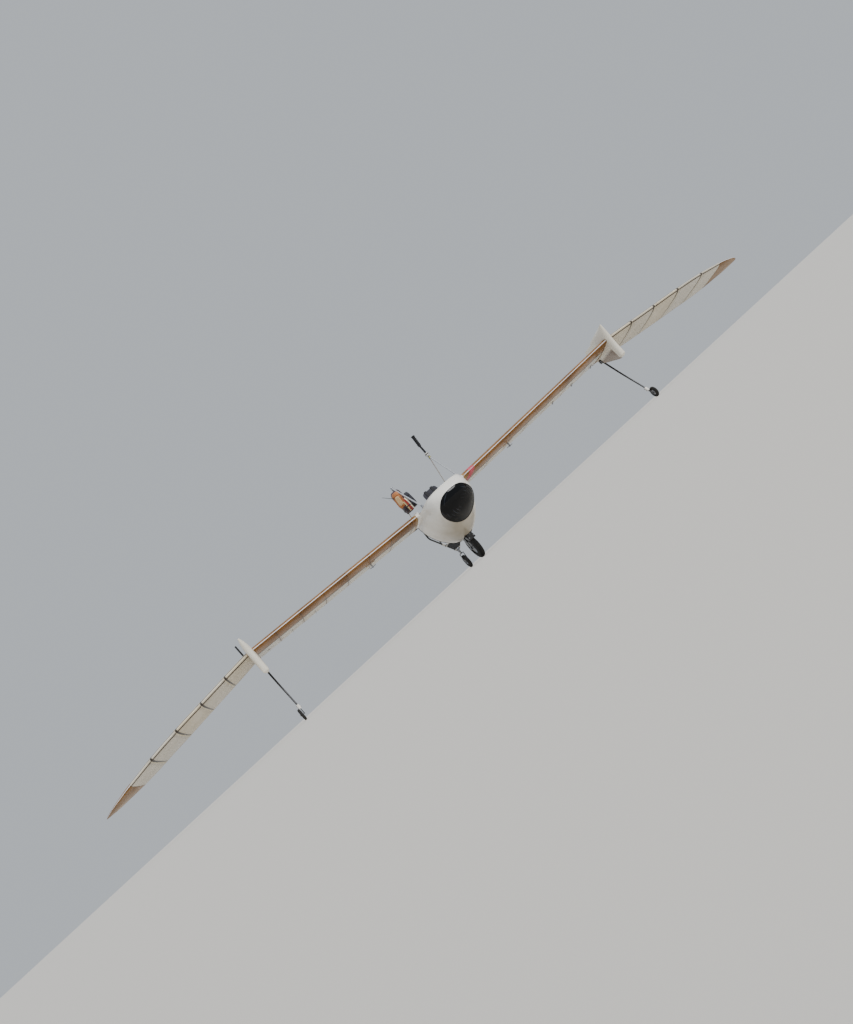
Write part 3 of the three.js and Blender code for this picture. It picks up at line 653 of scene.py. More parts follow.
def band(tree: Tree, value: Socket | Node, start: float, end: float) -> Node:
    """Marks where a value runs from start to end: 0 before start, 1 past end, eased between."""
    return put(tree, "MapRange", (value, start, end), interpolation_type="SMOOTHSTEP")


def overlaid(tree: Tree, colour: object, mask: Node, strength: float, code: str) -> Node:
    """Lays a colour over another where a mask is 1, at a given strength."""
    part = put(tree, "Math", (mask, strength), operation="MULTIPLY")
    return put(tree, "MixRGB", (part, colour, srgb(code)))


@dataclass(frozen=True)
class DopedCloth(Finish):
    """Polyester cloth shrunk over ribs and doped: its ribs show as dark lines, painted as their shadows
    through the cloth.
    """

    cloth: str
    shade: str
    # Colour of the painted shadows of ribs and gusset seen through the cloth.
    rib: str
    rear: str
    first_rib: float
    pitch: float
    rib_width: float
    # The dark line between these shares is painted shadow in the step where the cloth starts.
    front_line: tuple[float, float]  # shares of the chord between which the spar or nose line is dark
    rear_band: float
    # Dark painted shadow lines beside the rib tapes, where they are stitched.
    stitch_shadowed: bool = False
    # The gusset's edge, and the fin's painted shadow behind it.
    gusset_and_fin_shadow: bool = False
    cool: str = "c3cbd2"
    weave: float = 4 * MM  # drawn coarse, as the real weave is under 1 mm

    def paint(self, tree: Tree, place: Socket) -> Inputs:
        """Layers clouds, bays, painted rib shadows with painted shade beside them, stitch shadows and edge
        bands over the cloth's colour.
        """
        span, share = wing_map(tree)
        cloud = put(tree, "TexNoise", {"Vector": place, "Scale": 2.6, "Detail": 4.0, "Roughness": 0.6})
        tone = put(tree, "MapRange", (cloud, 0.35, 0.72, 0.0, 0.8))
        colour = put(tree, "MixRGB", (tone, srgb(self.cloth), srgb(self.shade)))
        colour = self.bay_tones(tree, colour, span)
        # Painted shade 0.11 m wide along each rib.
        rib_shade = rib_line(tree, span, self.first_rib, self.pitch, 0.11)
        colour = overlaid(tree, colour, rib_shade, 0.16, self.rib)
        # Painted shadows of the ribs through the cloth, behind the front line.
        ribs = rib_line(tree, span, self.first_rib, self.pitch, self.rib_width)
        behind = band(tree, share, self.front_line[1] - 0.01, self.front_line[1] + 0.01)
        marked = put(tree, "Math", (ribs, behind), operation="MULTIPLY")
        colour = overlaid(tree, colour, marked, 0.82, self.rib)
        if self.stitch_shadowed:
            colour = self.stitch_shadow_lines(tree, colour, span, share)
        if self.gusset_and_fin_shadow:
            colour = self.corner(tree, colour, span, share)
        colour, bump = self.bands(tree, colour, share), self.relief(tree, place, marked)
        gloss = {"Roughness": 0.52, "Sheen Weight": 0.12, "Specular IOR Level": 0.35, "Coat Weight": 0.08}
        return {"Base Color": colour, "Normal": bump, **gloss}

    def bay_tones(self, tree: Tree, colour: Node, span: Socket) -> Node:
        """Gives each bay between ribs a slightly different, cooler tone."""
        past = put(tree, "Math", (span, self.first_rib), operation="SUBTRACT")
        bays = put(tree, "Math", (past, self.pitch), operation="DIVIDE")
        number = put(tree, "Math", (bays,), operation="FLOOR")
        chance = put(tree, "TexWhiteNoise", {"W": number}, noise_dimensions="1D")
        return overlaid(tree, colour, chance, 0.35, self.cool)

    def stitch_shadow_lines(self, tree: Tree, colour: Node, span: Socket, share: Socket) -> Node:
        """Draws a dark line of painted shadow beside each rib's tape, where it is stitched: 36 mm wide in
        front, 18 mm and paler behind.
        """
        gap = rib_gap(tree, span, self.first_rib - 0.026, self.pitch)
        width = put(tree, "MapRange", (share, 0.05, 0.9, 0.018, 0.009))
        left = put(tree, "Math", (width, gap), operation="SUBTRACT")
        dark = put(tree, "MapRange", (left, -0.001, 0.002))
        fade = put(tree, "MapRange", (share, 0.35, 0.98, 0.96, 0.8))
        both = put(tree, "Math", (dark, fade), operation="MULTIPLY")
        return put(tree, "MixRGB", (both, colour, srgb("1f1812")))

    def corner(self, tree: Tree, colour: Node, span: Socket, share: Socket) -> Node:
        """Darkens the triangle behind the gusset at the panel's inner rear corner as the fin's painted shadow
        through the cloth, and draws the gusset's edge.
        """
        outward = put(tree, "MapRange", (span, 4.43, 4.96, 0.66), clamp=False)
        past = put(tree, "Math", (share, outward), operation="SUBTRACT")
        # Painted shadow of the fin, cast through the cloth.
        colour = overlaid(tree, colour, band(tree, past, 0.0, 0.012), 0.55, "a79a80")
        gap = put(tree, "Math", (past,), operation="ABSOLUTE")
        edge = put(tree, "MapRange", (gap, 0.006, 0.014, 0.7, 0.0))
        return put(tree, "MixRGB", (edge, colour, srgb(self.rib)))

    def bands(self, tree: Tree, colour: Node, share: Socket) -> Node:
        """Adds the dark line at the front of the cloth, painted shadow in the step where the cloth starts,
        and the beige band at its rear edge.
        """
        start, end = self.front_line
        after = band(tree, share, end, end + 0.006)
        before = band(tree, share, start, start + 0.003)
        line = put(tree, "Math", (before, after), operation="SUBTRACT")
        colour = put(tree, "MixRGB", (line, colour, srgb("3a2818")))
        rear = band(tree, share, 1 - self.rear_band, 1 - self.rear_band * 0.6)
        return overlaid(tree, colour, rear, 0.75, self.rear)

    def relief(self, tree: Tree, place: Socket, ribs: Node) -> Node:
        """Lifts the surface by the weave, by slack wrinkles between ribs and by the ribs."""
        weave = crossed(tree, {"Vector": place, "Scale": 0.314 / self.weave}, ("X", "Y"), "MULTIPLY")
        slack = put(tree, "Mapping", {"Vector": place, "Rotation": (0, 0, 0.5), "Scale": (7.0, 1.6, 1.0)})
        folds = put(tree, "TexNoise", {"Vector": slack, "Scale": 1.0, "Detail": 2.0})
        fine = put(tree, "Bump", {"Strength": 0.12, "Distance": 0.4 * MM, "Height": weave})
        wide = put(tree, "Bump", {"Strength": 0.35, "Distance": 12 * MM, "Height": folds, "Normal": fine})
        return put(tree, "Bump", {"Strength": 0.6, "Distance": 2 * MM, "Height": ribs, "Normal": wide})


@dataclass(frozen=True)
class VarnishedPlywood(Finish):
    """Birch plywood under yellowed varnish: long grain, darker scarf joints at the ribs, a pale nose tape."""

    light: str
    dark: str
    joint: str
    first_rib: float = FIRST_RIB
    pitch: float = RIB_PITCH
    tape: float = 0.0  # share of the chord that the nose tape covers
    mapped: bool = True

    def paint(self, tree: Tree, place: Socket) -> Inputs:
        """Grain is noise stretched along the span; joints and the nose tape lie over it."""
        # Growth lines lie about 5 mm apart and run for about 0.4 m
        stretch = put(tree, "Mapping", {"Vector": place, "Scale": (2.5, 95.0, 95.0)})
        grain = put(tree, "TexNoise", {"Vector": stretch, "Scale": 1.0, "Detail": 4.0, "Roughness": 0.6})
        patch = put(tree, "TexNoise", {"Vector": place, "Scale": 1.9, "Detail": 3.0})
        mixed = put(tree, "Math", (grain, patch), operation="ADD")
        tone = put(tree, "MapRange", (mixed, 0.8, 1.25))
        colour = put(tree, "MixRGB", (tone, srgb(self.light), srgb(self.dark)))
        if self.mapped:
            colour = self.joints(tree, colour)
        rough = put(tree, "MapRange", (patch, 0.35, 0.7, 0.3, 0.48))
        bump = put(tree, "Bump", {"Strength": 0.1, "Distance": 0.4 * MM, "Height": grain})
        gloss = {"Coat Weight": 0.05, "Coat Roughness": 0.2, "Specular IOR Level": 0.2}
        return {"Base Color": colour, "Roughness": rough, "Normal": bump, **gloss}

    def joints(self, tree: Tree, colour: Node) -> Node:
        """Darkens the joints, stains the varnish where every third meets the spar, and lays the tape."""
        span, share = wing_map(tree)
        seams = rib_line(tree, span, self.first_rib, self.pitch, 0.02)
        colour = overlaid(tree, colour, seams, 0.5, self.joint)
        near = rib_line(tree, span, self.first_rib + self.pitch, self.pitch * 3, 0.07)
        rear = band(tree, share, 0.24, 0.33)
        both = put(tree, "Math", (near, rear), operation="MULTIPLY")
        colour = overlaid(tree, colour, both, 0.75, self.joint)
        edge = band(tree, share, self.tape * 0.9, self.tape)
        return put(tree, "MixRGB", (edge, srgb("e8ecf4"), colour))


@dataclass(frozen=True)
class TwoToneWithShadow(Moulded):
    """Gelcoat that ends at a soft edge on a height, above varnished ply that it leaves bare, darkened there
    as the wing's painted shadow.
    """

    # Lower colour: bare ply darkened as the painted shadow of the wing; the lit nose band ahead of the front
    # y keeps the upper colour.
    lower: str = "6b5038"
    edge: float = 1.28
    shadow_front_y: float = -1.05  # the blunt nose band stays in the upper colour ahead of this y

    def paint(self, tree: Tree, place: Socket) -> Inputs:
        """Paints as moulded, then puts the lower colour, bare ply with painted wing shadow, below the edge
        and behind the nose band.
        """
        inputs = super().paint(tree, place)
        _, y, z = put(tree, "SeparateXYZ", (place,)).outputs
        under = put(tree, "MapRange", (z, self.edge - 0.05, self.edge, 1.0, 0.0))
        behind = band(tree, y, self.shadow_front_y, self.shadow_front_y + 0.03)
        share = put(tree, "Math", (under, behind), operation="MULTIPLY")
        return inputs | {"Base Color": overlaid(tree, inputs["Base Color"], share, 0.85, self.lower)}


@dataclass(frozen=True)
class UnderShadedGelcoat(Moulded):
    """Gelcoat that is plain above and turns beige towards its underside, as painted shade."""

    # The painted shade's colour, the height above which there is none, the height below which it is full, and
    # its most.
    under_shade: str = "9a8b6c"
    shade_free_height: float = 1.22
    full_shade_height: float = 0.66
    shade_most: float = 0.72

    def paint(self, tree: Tree, place: Socket) -> Inputs:
        """Paints as moulded, then mixes in beige painted shade by height, broken up by noise."""
        inputs = super().paint(tree, place)
        _, _, z = put(tree, "SeparateXYZ", (place,)).outputs
        cloud = put(tree, "TexNoise", {"Vector": place, "Scale": 1 / 0.35, "Detail": 3.0})
        drift = put(tree, "MapRange", (cloud, 0.3, 0.7, -0.1, 0.1))
        height = put(tree, "Math", (z, drift), operation="ADD")
        share = put(tree, "MapRange", (height, self.full_shade_height, self.shade_free_height, self.shade_most, 0.0))
        under_shaded = put(tree, "MixRGB", (share, inputs["Base Color"], srgb(self.under_shade)))
        return inputs | {"Base Color": under_shaded}


NOSE_PLY = VarnishedPlywood(
    "varnished birch ply, wing nose", "plywood", "936429", "6b461b", "2c1b0d", tape=0.0012
)
TIP_PLY = VarnishedPlywood(
    "varnished birch ply, tip", "plywood", "966a26", "6b4817", "33220f", LAST_RIB, pitch=1.4, tape=0.002
)
BARE_PLY = VarnishedPlywood(
    "varnished birch ply, fittings", "plywood", "b08a58", "86663a", "4a3018", mapped=False
)
INNER_CLOTH = DopedCloth(
    "doped cloth, inner wing", "wing_fabric", "e3dccb", "cdc3ae", "6a4c30", "cdbb98",
    FIRST_RIB, RIB_PITCH, 0.024, (0.3, 0.382), 0.05,
)
# Outer cloth: painted stitch shadows beside the rib tapes, and the fin's painted shadow behind the gusset.
OUTER_CLOTH = DopedCloth(
    "doped cloth, outer wing", "wing_fabric", "dfd3ba", "c8b999", "634a30", "94743f",
    OUTER_FIRST_RIB, OUTER_PITCH, 0.016, (0.012, 0.04), 0.035, stitch_shadowed=True, gusset_and_fin_shadow=True,
)
ELEVON_CLOTH = DopedCloth(
    "doped cloth, elevon", "wing_fabric", "e0dbd0", "cdc7ba", "6e5236", "cdbfa2",
    FIRST_RIB, RIB_PITCH, 0.02, (0.6, 0.74), 0.05,
)
# White gelcoat, beige towards the underside with painted shade.
GELCOAT = UnderShadedGelcoat(
    "white gelcoat on glass fibre", "gelcoat", "f1eee6", "d8d0bf", 0.22, 6 * MM, 0.05, 0.3, coat=0.5
)
# Cream gelcoat, the fin's lower side painted as bare ply in the wing's shadow.
FIN_GELCOAT = TwoToneWithShadow(
    "cream gelcoat over ply", "gelcoat", "efe9da", "d2c8b2", 0.3, 6 * MM, 0.06, 0.3, coat=0.3
)
# Dark tinted window, with painted ring reflections.
ACRYLIC = TintedAcrylic("dark tinted blown acrylic", "tinted_window", "050608", "4c525e", (0.03, -1.2, 0.95))
ROD = Moulded("black pultruded glass rod", "black_rod", "121214", "2c2b2a", 0.34, 2 * MM, 0.1, 0.4, coat=0.2)
ENAMEL = Moulded(
    "black enamelled steel", "black_tube", "17181b", "38342f", 0.36, 4 * MM, 0.08, 0.5, coat=0.25
)
RUBBER = Moulded("worn black rubber", "tyre", "161616", "4b463f", 0.82, 3 * MM, 0.45, 0.55)
HEM = Moulded("dark rubber edging", "gelcoat", "1d1c1c", "3a3733", 0.6, 3 * MM, 0.2, 0.4)
PANEL_GREY = Moulded("dark grey painted sheet", "grey_panel", "3a3c41", "24252a", 0.5, 5 * MM, 0.08, 0.6)
WHITE_METAL = Moulded("white powder-coated steel", "alloy", "dedcd6", "a39b8c", 0.42, 3 * MM, 0.2, 0.5)
RED_TAPE = Moulded("red cloth tape", "gelcoat", "c23a4e", "d98a92", 0.6, 2 * MM, 0.25, 0.7)
GRIP = Moulded("black foam grip", "black_tube", "151518", "2f2f33", 0.9, 5 * MM, 0.7, 0.5)
ALLOY = DrawnMetal("drawn aluminium", "alloy", "e8eaec", 0.3, Axis.Z)
BRASSY = Moulded(
    "yellow-green anodised aluminium", "alloy", "b9b45a", "8b873f", 0.34, 3 * MM, 0.08, 0.3, metal=0.8
)
HUB_ALLOY = DrawnMetal("turned aluminium", "alloy", "c4c6ca", 0.3, Axis.X)
BRIGHT_STEEL = DrawnMetal("polished stainless steel", "steel", "d9dce0", 0.14, Axis.X)
STEEL = DrawnMetal("zinc-plated steel", "steel", "a9abb0", 0.32, Axis.X)
SEAT_CLOTH = Webbing("dark woven seat cover", "seat_cloth", "26262d", "3b3b46", 6 * MM)
CANVAS = Moulded(
    "orange-brown coated canvas", "canvas", "b97440", "74431f", 0.74, 4 * MM, 0.5, 0.9, sheen=0.2
)
SAND_CANVAS = Moulded("sand coated canvas", "canvas", "d2b487", "a0743f", 0.78, 4 * MM, 0.5, 0.8, sheen=0.2)
RIB_TAPE = Moulded("cream rib tape", "wing_fabric", "e6dcc2", "b9a880", 0.6, 3 * MM, 0.2, 0.5)
PLUM_CLOTH = Webbing("dark plum ripstop", "canvas", "2e1c28", "4a2f3c", 5 * MM)
STRAP_RED = Webbing("red webbing", "canvas", "a83226", "7c2018")
STRAP_BLACK = Webbing("black webbing", "seat_cloth", "1a1a1d", "34343a")
STRAP_SAND = Webbing("sand webbing", "canvas", "cdb489", "a98e63")


def dress(obj: Thing, finish: Finish, body: str = "airframe", instead_of: Sequence[str] = ()) -> None:
    """Gives a piece its finish and lets it ride on a CAD body.

    Args:
        obj: The piece, in place.
        finish: Its finish.
        body: The body that it moves with.
        instead_of: CAD nodes that it stands for.
    """
    obj.data.materials.clear()
    obj.data.materials.append(finish.material())
    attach(obj, body)
    if instead_of:
        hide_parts(*instead_of)
    LOG.info("%s: %s, on %s, %d faces", obj.name, finish.name, body, len(obj.data.polygons))


# Wing


@dataclass(frozen=True)
class WingTable:
    """The wing's sections along the span: nose place, chord, thickness share and incidence."""

    span: Row = (ROOT, 4.37, 4.9, 5.43, 5.96, 6.49, LAST_RIB, 7.3, 7.5, 7.65)
    lead_y: Row = (-0.485, -1.135, -1.165, -1.25, -1.395, -1.505, -1.5, -1.39, -1.26, -1.085)
    lead_z: Row = (1.36, 1.447, 1.395, 1.33, 1.259, 1.175, 1.084, 1.026, 0.988, 0.958)
    chord: Row = (1.05, 1.075, 1.12, 1.15, 1.17, 1.14, 0.95, 0.7, 0.46, 0.12)
    thick: Row = (0.135, 0.115, 0.105, 0.1, 0.095, 0.09, 0.09, 0.085, 0.08, 0.12)
    tilt: Row = (5.0, 5.5, 6.0, 6.0, 6.0, 5.5, 5.0, 4.0, 3.0, 0.0)
    rear_edge: float = 5 * MM
    spar: float = 0.33
    hinge: float = 0.77

    def read(self, column: Row, x: Numbers) -> Array:
        """Reads one column, straight on the inner panel and smooth on the outer one.

        Args:
            column: One of the table's columns.
            x: Spans.

        Returns:
            The column's values at those spans.
        """
        inner = np.interp(x, self.span[:2], column[:2])
        outer = eased(np.maximum(x, self.span[1]), self.span[1:], column[1:])
        return np.where(x <= self.span[1], inner, outer)

    def half(self, x: Numbers, share: Numbers) -> Array:
        """Half the thickness in metres: the square root, linear and power terms of the usual section.

        Args:
            x: Spans.
            share: Shares of the chord.

        Returns:
            Half the thickness at each place.
        """
        curve = 0.2969 * np.sqrt(share) - 0.126 * share - 0.3516 * share**2
        curve = curve + 0.2843 * share**3 - 0.1036 * share**4
        return 5 * self.read(self.thick, x) * curve * self.read(self.chord, x) + self.rear_edge / 2 * share

    def point(self, x: Numbers, share: Numbers, side: Numbers, proud: Numbers = 0.0) -> Array:
        """Places points of the skin.

        A point lies share times the chord behind the nose, and the camber plus side times half
        the thickness above that, all turned by the incidence.

        Args:
            x: Spans.
            share: Shares of the chord.
            side: 1 above the camber line, -1 below it and 0 on it.
            proud: Extra height off the skin, outwards.

        Returns:
            The points, with x, y and z in the last index.
        """
        chord = self.read(self.chord, x)
        tilt = np.radians(self.read(self.tilt, x))
        along = share * chord
        camber = 0.09 * share * (1 - share) * (0.95 - share) * chord
        up = camber + side * (self.half(x, share) + proud)
        y = self.read(self.lead_y, x) + along * np.cos(tilt) + up * np.sin(tilt)
        z = self.read(self.lead_z, x) - along * np.sin(tilt) + up * np.cos(tilt)
        return gathered(x, y, z)

    def hinge_line(self, x: Array) -> tuple[Array, Array]:
        """The elevon hinge's centre and the elevon's nose radius at spans x."""
        return self.point(x, self.hinge, 0.0), self.half(x, self.hinge)


WING = WingTable()


def skin(
    name: str,
    side: Side,
    x: Array,
    front: float,
    rear: Numbers,
    steps: int,
    slack: Callable[[Array, Array], Array] | None = None,
    proud: float = 0.0,
) -> Thing:
    """Lofts the closed skin of a stretch of the wing.

    The ring runs from the rear over the top to the front and back below. Shares start with
    cosine steps where the front is the nose itself.

    Args:
        name: The object's name.
        side: Which wing.
        x: Spans of the rings.
        front: Share of the chord where the stretch starts.
        rear: Share where it ends, one or one for each ring.
        steps: Points on each face of a ring.
        slack: How far the cloth sinks at a span and share.
        proud: How far the skin stands off the wing's own shape.

    Returns:
        The closed skin, mapped by span and share.
    """
    t = np.linspace(0, 1, steps)
    spread = 1 - np.cos(t * math.pi / 2) if front == 0 else t
    share = front + (np.broadcast_to(rear, x.shape)[:, None] - front) * spread
    below = share[:, 1:] if front == 0 else share
    shares = np.concatenate([share[:, ::-1], below], axis=1)
    faces = np.concatenate([np.ones(steps), -np.ones(below.shape[1])])[None, :]
    spans = np.broadcast_to(x[:, None], shares.shape)
    lift = proud - (slack(spans, shares) if slack else 0.0)
    points = WING.point(spans, shares, faces, lift)
    uv = np.stack([spans, shares], axis=-1)
    return lofted(name, side, points, uv)


def sink(first: float, pitch: float, front: float, depth: float) -> Callable[[Array, Array], Array]:
    """Makes the function for how far cloth sinks between ribs.

    The depth is a squared sine between two ribs, eased to nothing at the spar and the rear edge.

    Args:
        first: Span of one rib.
        pitch: Distance between ribs.
        front: Share of the chord where the cloth leaves the spar.
        depth: Depth in the middle of a bay.

    Returns:
        A function of span and share.
    """

    def depth_at(span: Array, share: Array) -> Array:
        """The depth at each span and share."""
        between = np.sin(math.pi * (span - first) / pitch) ** 2
        ends = np.clip((share - front) / 0.15, 0, 1) * np.clip((0.98 - share) / 0.12, 0, 1)
        return depth * between * ends

    return depth_at


def nose_ring(steps: int) -> tuple[Array, Array]:
    """Runs a ring from the rear edge over the top to the nose and back below.

    The shares are one less a cosine, so that the points lie close together at the nose.

    Args:
        steps: Points on each face.

    Returns:
        One row each of the shares of the chord and of the faces, 1 above and -1 below.
    """
    share = 1 - np.cos(np.linspace(0, 1, steps) * math.pi / 2)
    faces = np.concatenate([np.ones(steps), -np.ones(steps - 1)])
    return np.concatenate([share[::-1], share[1:]])[None, :], faces[None, :]


@dataclass
class InnerPanel:
    """One inner wing: plywood nose, cloth rear with the elevon's cove, elevon and its fittings."""

    side: Side
    elevon_from: float = 2.81
    end_gap: float = 16 * MM
    hinge_gap: float = 7 * MM
    gap: float = 0.3 * MM
    sag: float = 3.5 * MM
    hinge_spans: Row = (3.07, 3.59, 4.11)
    patch_spans: Row = (1.66, 1.88)
    patch_shares: Row = (0.345, 0.47)
    tape_spans: Row = (0.74, 0.87)
    tape_slant: float = 0.32

    def build(self) -> None:
        """Makes and dresses every piece of the panel."""
        self.nose()
        self.rear_cloth()
        self.elevon()
        self.hinges()
        self.horn()
        self.root_fittings()

    def nose(self) -> None:
        """Lofts the plywood nose as far as the spar."""
        word = self.side.word
        x = np.linspace(ROOT + self.gap, BREAK_INNER - self.gap, 72)
        piece = skin(f"nose_skin_{word}", self.side, x, 0.0, WING.spar, 30)
        dress(piece, NOSE_PLY, instead_of=[f"nose_box_{word}"])

    def rear_cloth(self) -> None:
        """Lofts the cloth in two stretches: to the rear edge inboard, to the cove outboard."""
        word = self.side.word
        slack = sink(FIRST_RIB, RIB_PITCH, WING.spar, self.sag)
        inboard = np.linspace(ROOT + self.gap, self.elevon_from, 90)
        outboard = np.linspace(self.elevon_from, BREAK_INNER - self.gap, 62)
        start = WING.spar + 0.0006
        _, radius = WING.hinge_line(outboard)
        cove = WING.hinge - (radius + self.hinge_gap) / WING.read(WING.chord, outboard)
        near = skin(f"cloth_inboard_{word}", self.side, inboard, start, 1.0, 26, slack)
        far = skin(f"cloth_outboard_{word}", self.side, outboard, start, cove, 20, slack)
        for piece in (near, far):
            dress(piece, INNER_CLOTH, instead_of=[f"rear_panel_{word}"])

    def elevon(self) -> None:
        """Lofts the elevon, with a half-round nose about its hinge, and its pins.

        The nose is the hinge's centre plus the radius times (cos a along the chord, sin a square
        to it), for a from a quarter to three quarters of a turn.
        """
        body = f"elevon_{self.side.word}"
        x = np.linspace(self.elevon_from + self.end_gap, BREAK_INNER - self.end_gap, 66)
        centre, radius = WING.hinge_line(x)
        x = x[:, None]
        tilt = np.radians(WING.read(WING.tilt, x))
        angle = np.linspace(math.pi / 2, 1.5 * math.pi, 13)[None, :]
        along = radius[:, None] * np.cos(angle)
        up = radius[:, None] * np.sin(angle)
        nose_y = centre[:, 1:2] + along * np.cos(tilt) + up * np.sin(tilt)
        nose_z = centre[:, 2:3] - along * np.sin(tilt) + up * np.cos(tilt)
        nose = gathered(x, nose_y, nose_z)
        share = np.broadcast_to(np.linspace(WING.hinge + 0.03, 1.0, 12), (len(x), 12))
        lift = -sink(FIRST_RIB, RIB_PITCH, WING.hinge, self.sag * 0.5)(x, share)
        lower = WING.point(x, share, -1.0, lift)
        upper = WING.point(x, share[:, ::-1], 1.0, lift[:, ::-1])
        points = np.concatenate([nose, lower, upper], axis=1)
        shares = np.concatenate([np.full(nose_y.shape, WING.hinge - 0.02), share, share[:, ::-1]], axis=1)
        uv = gathered(x, shares)
        dress(lofted(f"elevon_skin_{self.side.word}", self.side, points, uv), ELEVON_CLOTH, body, [body])
        ends, _ = WING.hinge_line(np.array([self.elevon_from + 2 * MM, BREAK_INNER - 2 * MM]))
        dress(tube(f"elevon_pin_{self.side.word}", mirrored_x(ends, self.side), 8 * MM), STEEL, body)

    def hinges(self) -> None:
        """Puts a plate under each elevon hinge, midway between two ribs."""
        for number, x in enumerate(self.hinge_spans):
            centre, radius = WING.hinge_line(np.array([x]))
            _, y, z = centre[0]
            low = radius[0]
            outline = np.array([(-0.16, -low - 0.002), (-0.045, -low - 0.03), (-0.02, -low - 0.034),
                                (-0.012, -low - 0.012), (-0.06, -low + 0.002), (-0.16, -low + 0.006)])
            rows = [np.column_stack([np.full(6, x + dx), outline + (y, z)]) for dx in (-3 * MM, 3 * MM)]
            plate = lofted(f"hinge_plate_{number}_{self.side.word}", self.side, np.array(rows))
            soften(plate, 1 * MM)
            dress(plate, STEEL)

    def horn(self) -> None:
        """Dresses the control horn under the wing with its push rod's bolt and a plywood patch."""
        word = self.side.word
        node = f"control_horn_{word}"
        dress(cleaned_copy(node, f"horn_{word}", 1 * MM), STEEL, instead_of=[node])
        x = np.linspace(*self.patch_spans, 14)[:, None]
        share = np.linspace(*self.patch_shares, 12)[None, :]
        patch = lattice(f"horn_patch_{word}", mirrored_x(WING.point(x, share, -1.0, 1.2 * MM), self.side))
        patch.modifiers.new("thickness", "SOLIDIFY").thickness = 1 * MM
        dress(patch, BARE_PLY)
        low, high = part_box(node)
        middle = ((low[0] + high[0]) / 2, (low[1] + high[1]) / 2, low[2] + 18 * MM)
        profile = both_ends([(0, -0.016), (0.011, -0.014)])
        dress(turned(f"horn_bolt_{word}", profile, middle, Axis.X, 6), STEEL)

    def root_fittings(self) -> None:
        """Adds the root rib's cuff and, on the left wing, the red tape round its nose."""
        x = np.linspace(ROOT - 1.2 * MM, ROOT + 0.045, 4)
        dress(skin(f"root_cuff_{self.side.word}", self.side, x, 0.0, 1.0, 34, proud=1.6 * MM), BARE_PLY)
        if self.side is Side.LEFT:
            self.slanted_tape()

    def slanted_tape(self) -> None:
        """Wraps the red tape round the nose, slanted outwards from the spar to the nose.

        Each ring follows the section from the spar on top round the nose to the spar below, and
        its span is less by the slant times the share of the chord.
        """
        shares, faces = nose_ring(20)
        shares = shares * (WING.spar - 0.02)
        spans = np.array(self.tape_spans)[:, None] - self.tape_slant * shares
        inside, outside = (WING.point(spans, shares, faces, proud) for proud in (0.2 * MM, 1.4 * MM))
        ring = np.stack([inside[0], outside[0], outside[1], inside[1]], axis=1)
        dress(lofted("nose_tape_left", self.side, ring), RED_TAPE)


@dataclass
class OuterPanel:
    """One outer wing: stitched cloth to the last rib, and the curved plywood tip."""

    side: Side
    tip: float = 7.65
    closes_from: float = 7.6
    gap: float = 0.3 * MM
    sag: float = 5 * MM

    def build(self) -> None:
        """Makes and dresses the panel and its tip."""
        word = self.side.word
        x = np.linspace(BREAK_OUTER + self.gap, LAST_RIB - self.gap, 130)
        slack = sink(OUTER_FIRST_RIB, OUTER_PITCH, 0.1, self.sag)
        cloth = skin(f"outer_cloth_{word}", self.side, x, 0.0, 1.0, 34, slack)
        dress(cloth, OUTER_CLOTH, instead_of=[f"outer_wing_{word}"])
        self.cap_strips()
        self.tip_shell()

    def cap_strips(self) -> None:
        """Lays a thin tape over the cloth along every rib, round the rear edge from top to bottom.

        The tape's section is a flat hexagon, 18 mm wide and 2 mm proud of the cloth.
        """
        share = np.concatenate([np.linspace(0.03, 0.985, 26), np.linspace(0.985, 0.03, 26)])[:, None]
        face = np.concatenate([np.ones(26), -np.ones(26)])[:, None]
        across = np.array([-9, -8, 8, 9, 9, -9])[None, :] * MM
        lift = np.array([0.0, 2.0, 2.0, 0.0, -1.0, -1.0])[None, :] * MM
        ribs = OUTER_FIRST_RIB + OUTER_PITCH * np.arange(4)
        parts = [lofted("cap", self.side, WING.point(x + across, share, face, lift)) for x in ribs]
        strips = joined(f"rib_tapes_{self.side.word}", parts)
        strips.data.shade_smooth()
        strips.data.set_sharp_from_angle(angle=math.radians(40))
        dress(strips, RIB_TAPE)

    def tip_shell(self) -> None:
        """Lofts the plywood tip, whose last 50 mm close like the end of an ellipse."""
        word = self.side.word
        x = np.concatenate([np.linspace(LAST_RIB, 7.55, 44), np.linspace(7.56, self.tip, 26)])[:, None]
        shares, faces = nose_ring(26)
        points = WING.point(x, shares, faces)
        middle = points.mean(axis=1, keepdims=True)
        past = np.clip((x - self.closes_from) / (self.tip - self.closes_from), 0, 1)
        closed = middle + (points - middle) * np.sqrt(1 - past**2)[:, :, None]
        closed[..., 0] = x
        shell = lofted(f"tip_shell_{word}", self.side, closed, gathered(x, shares))
        dress(shell, TIP_PLY, instead_of=[f"wing_tip_{word}"])


# Fins


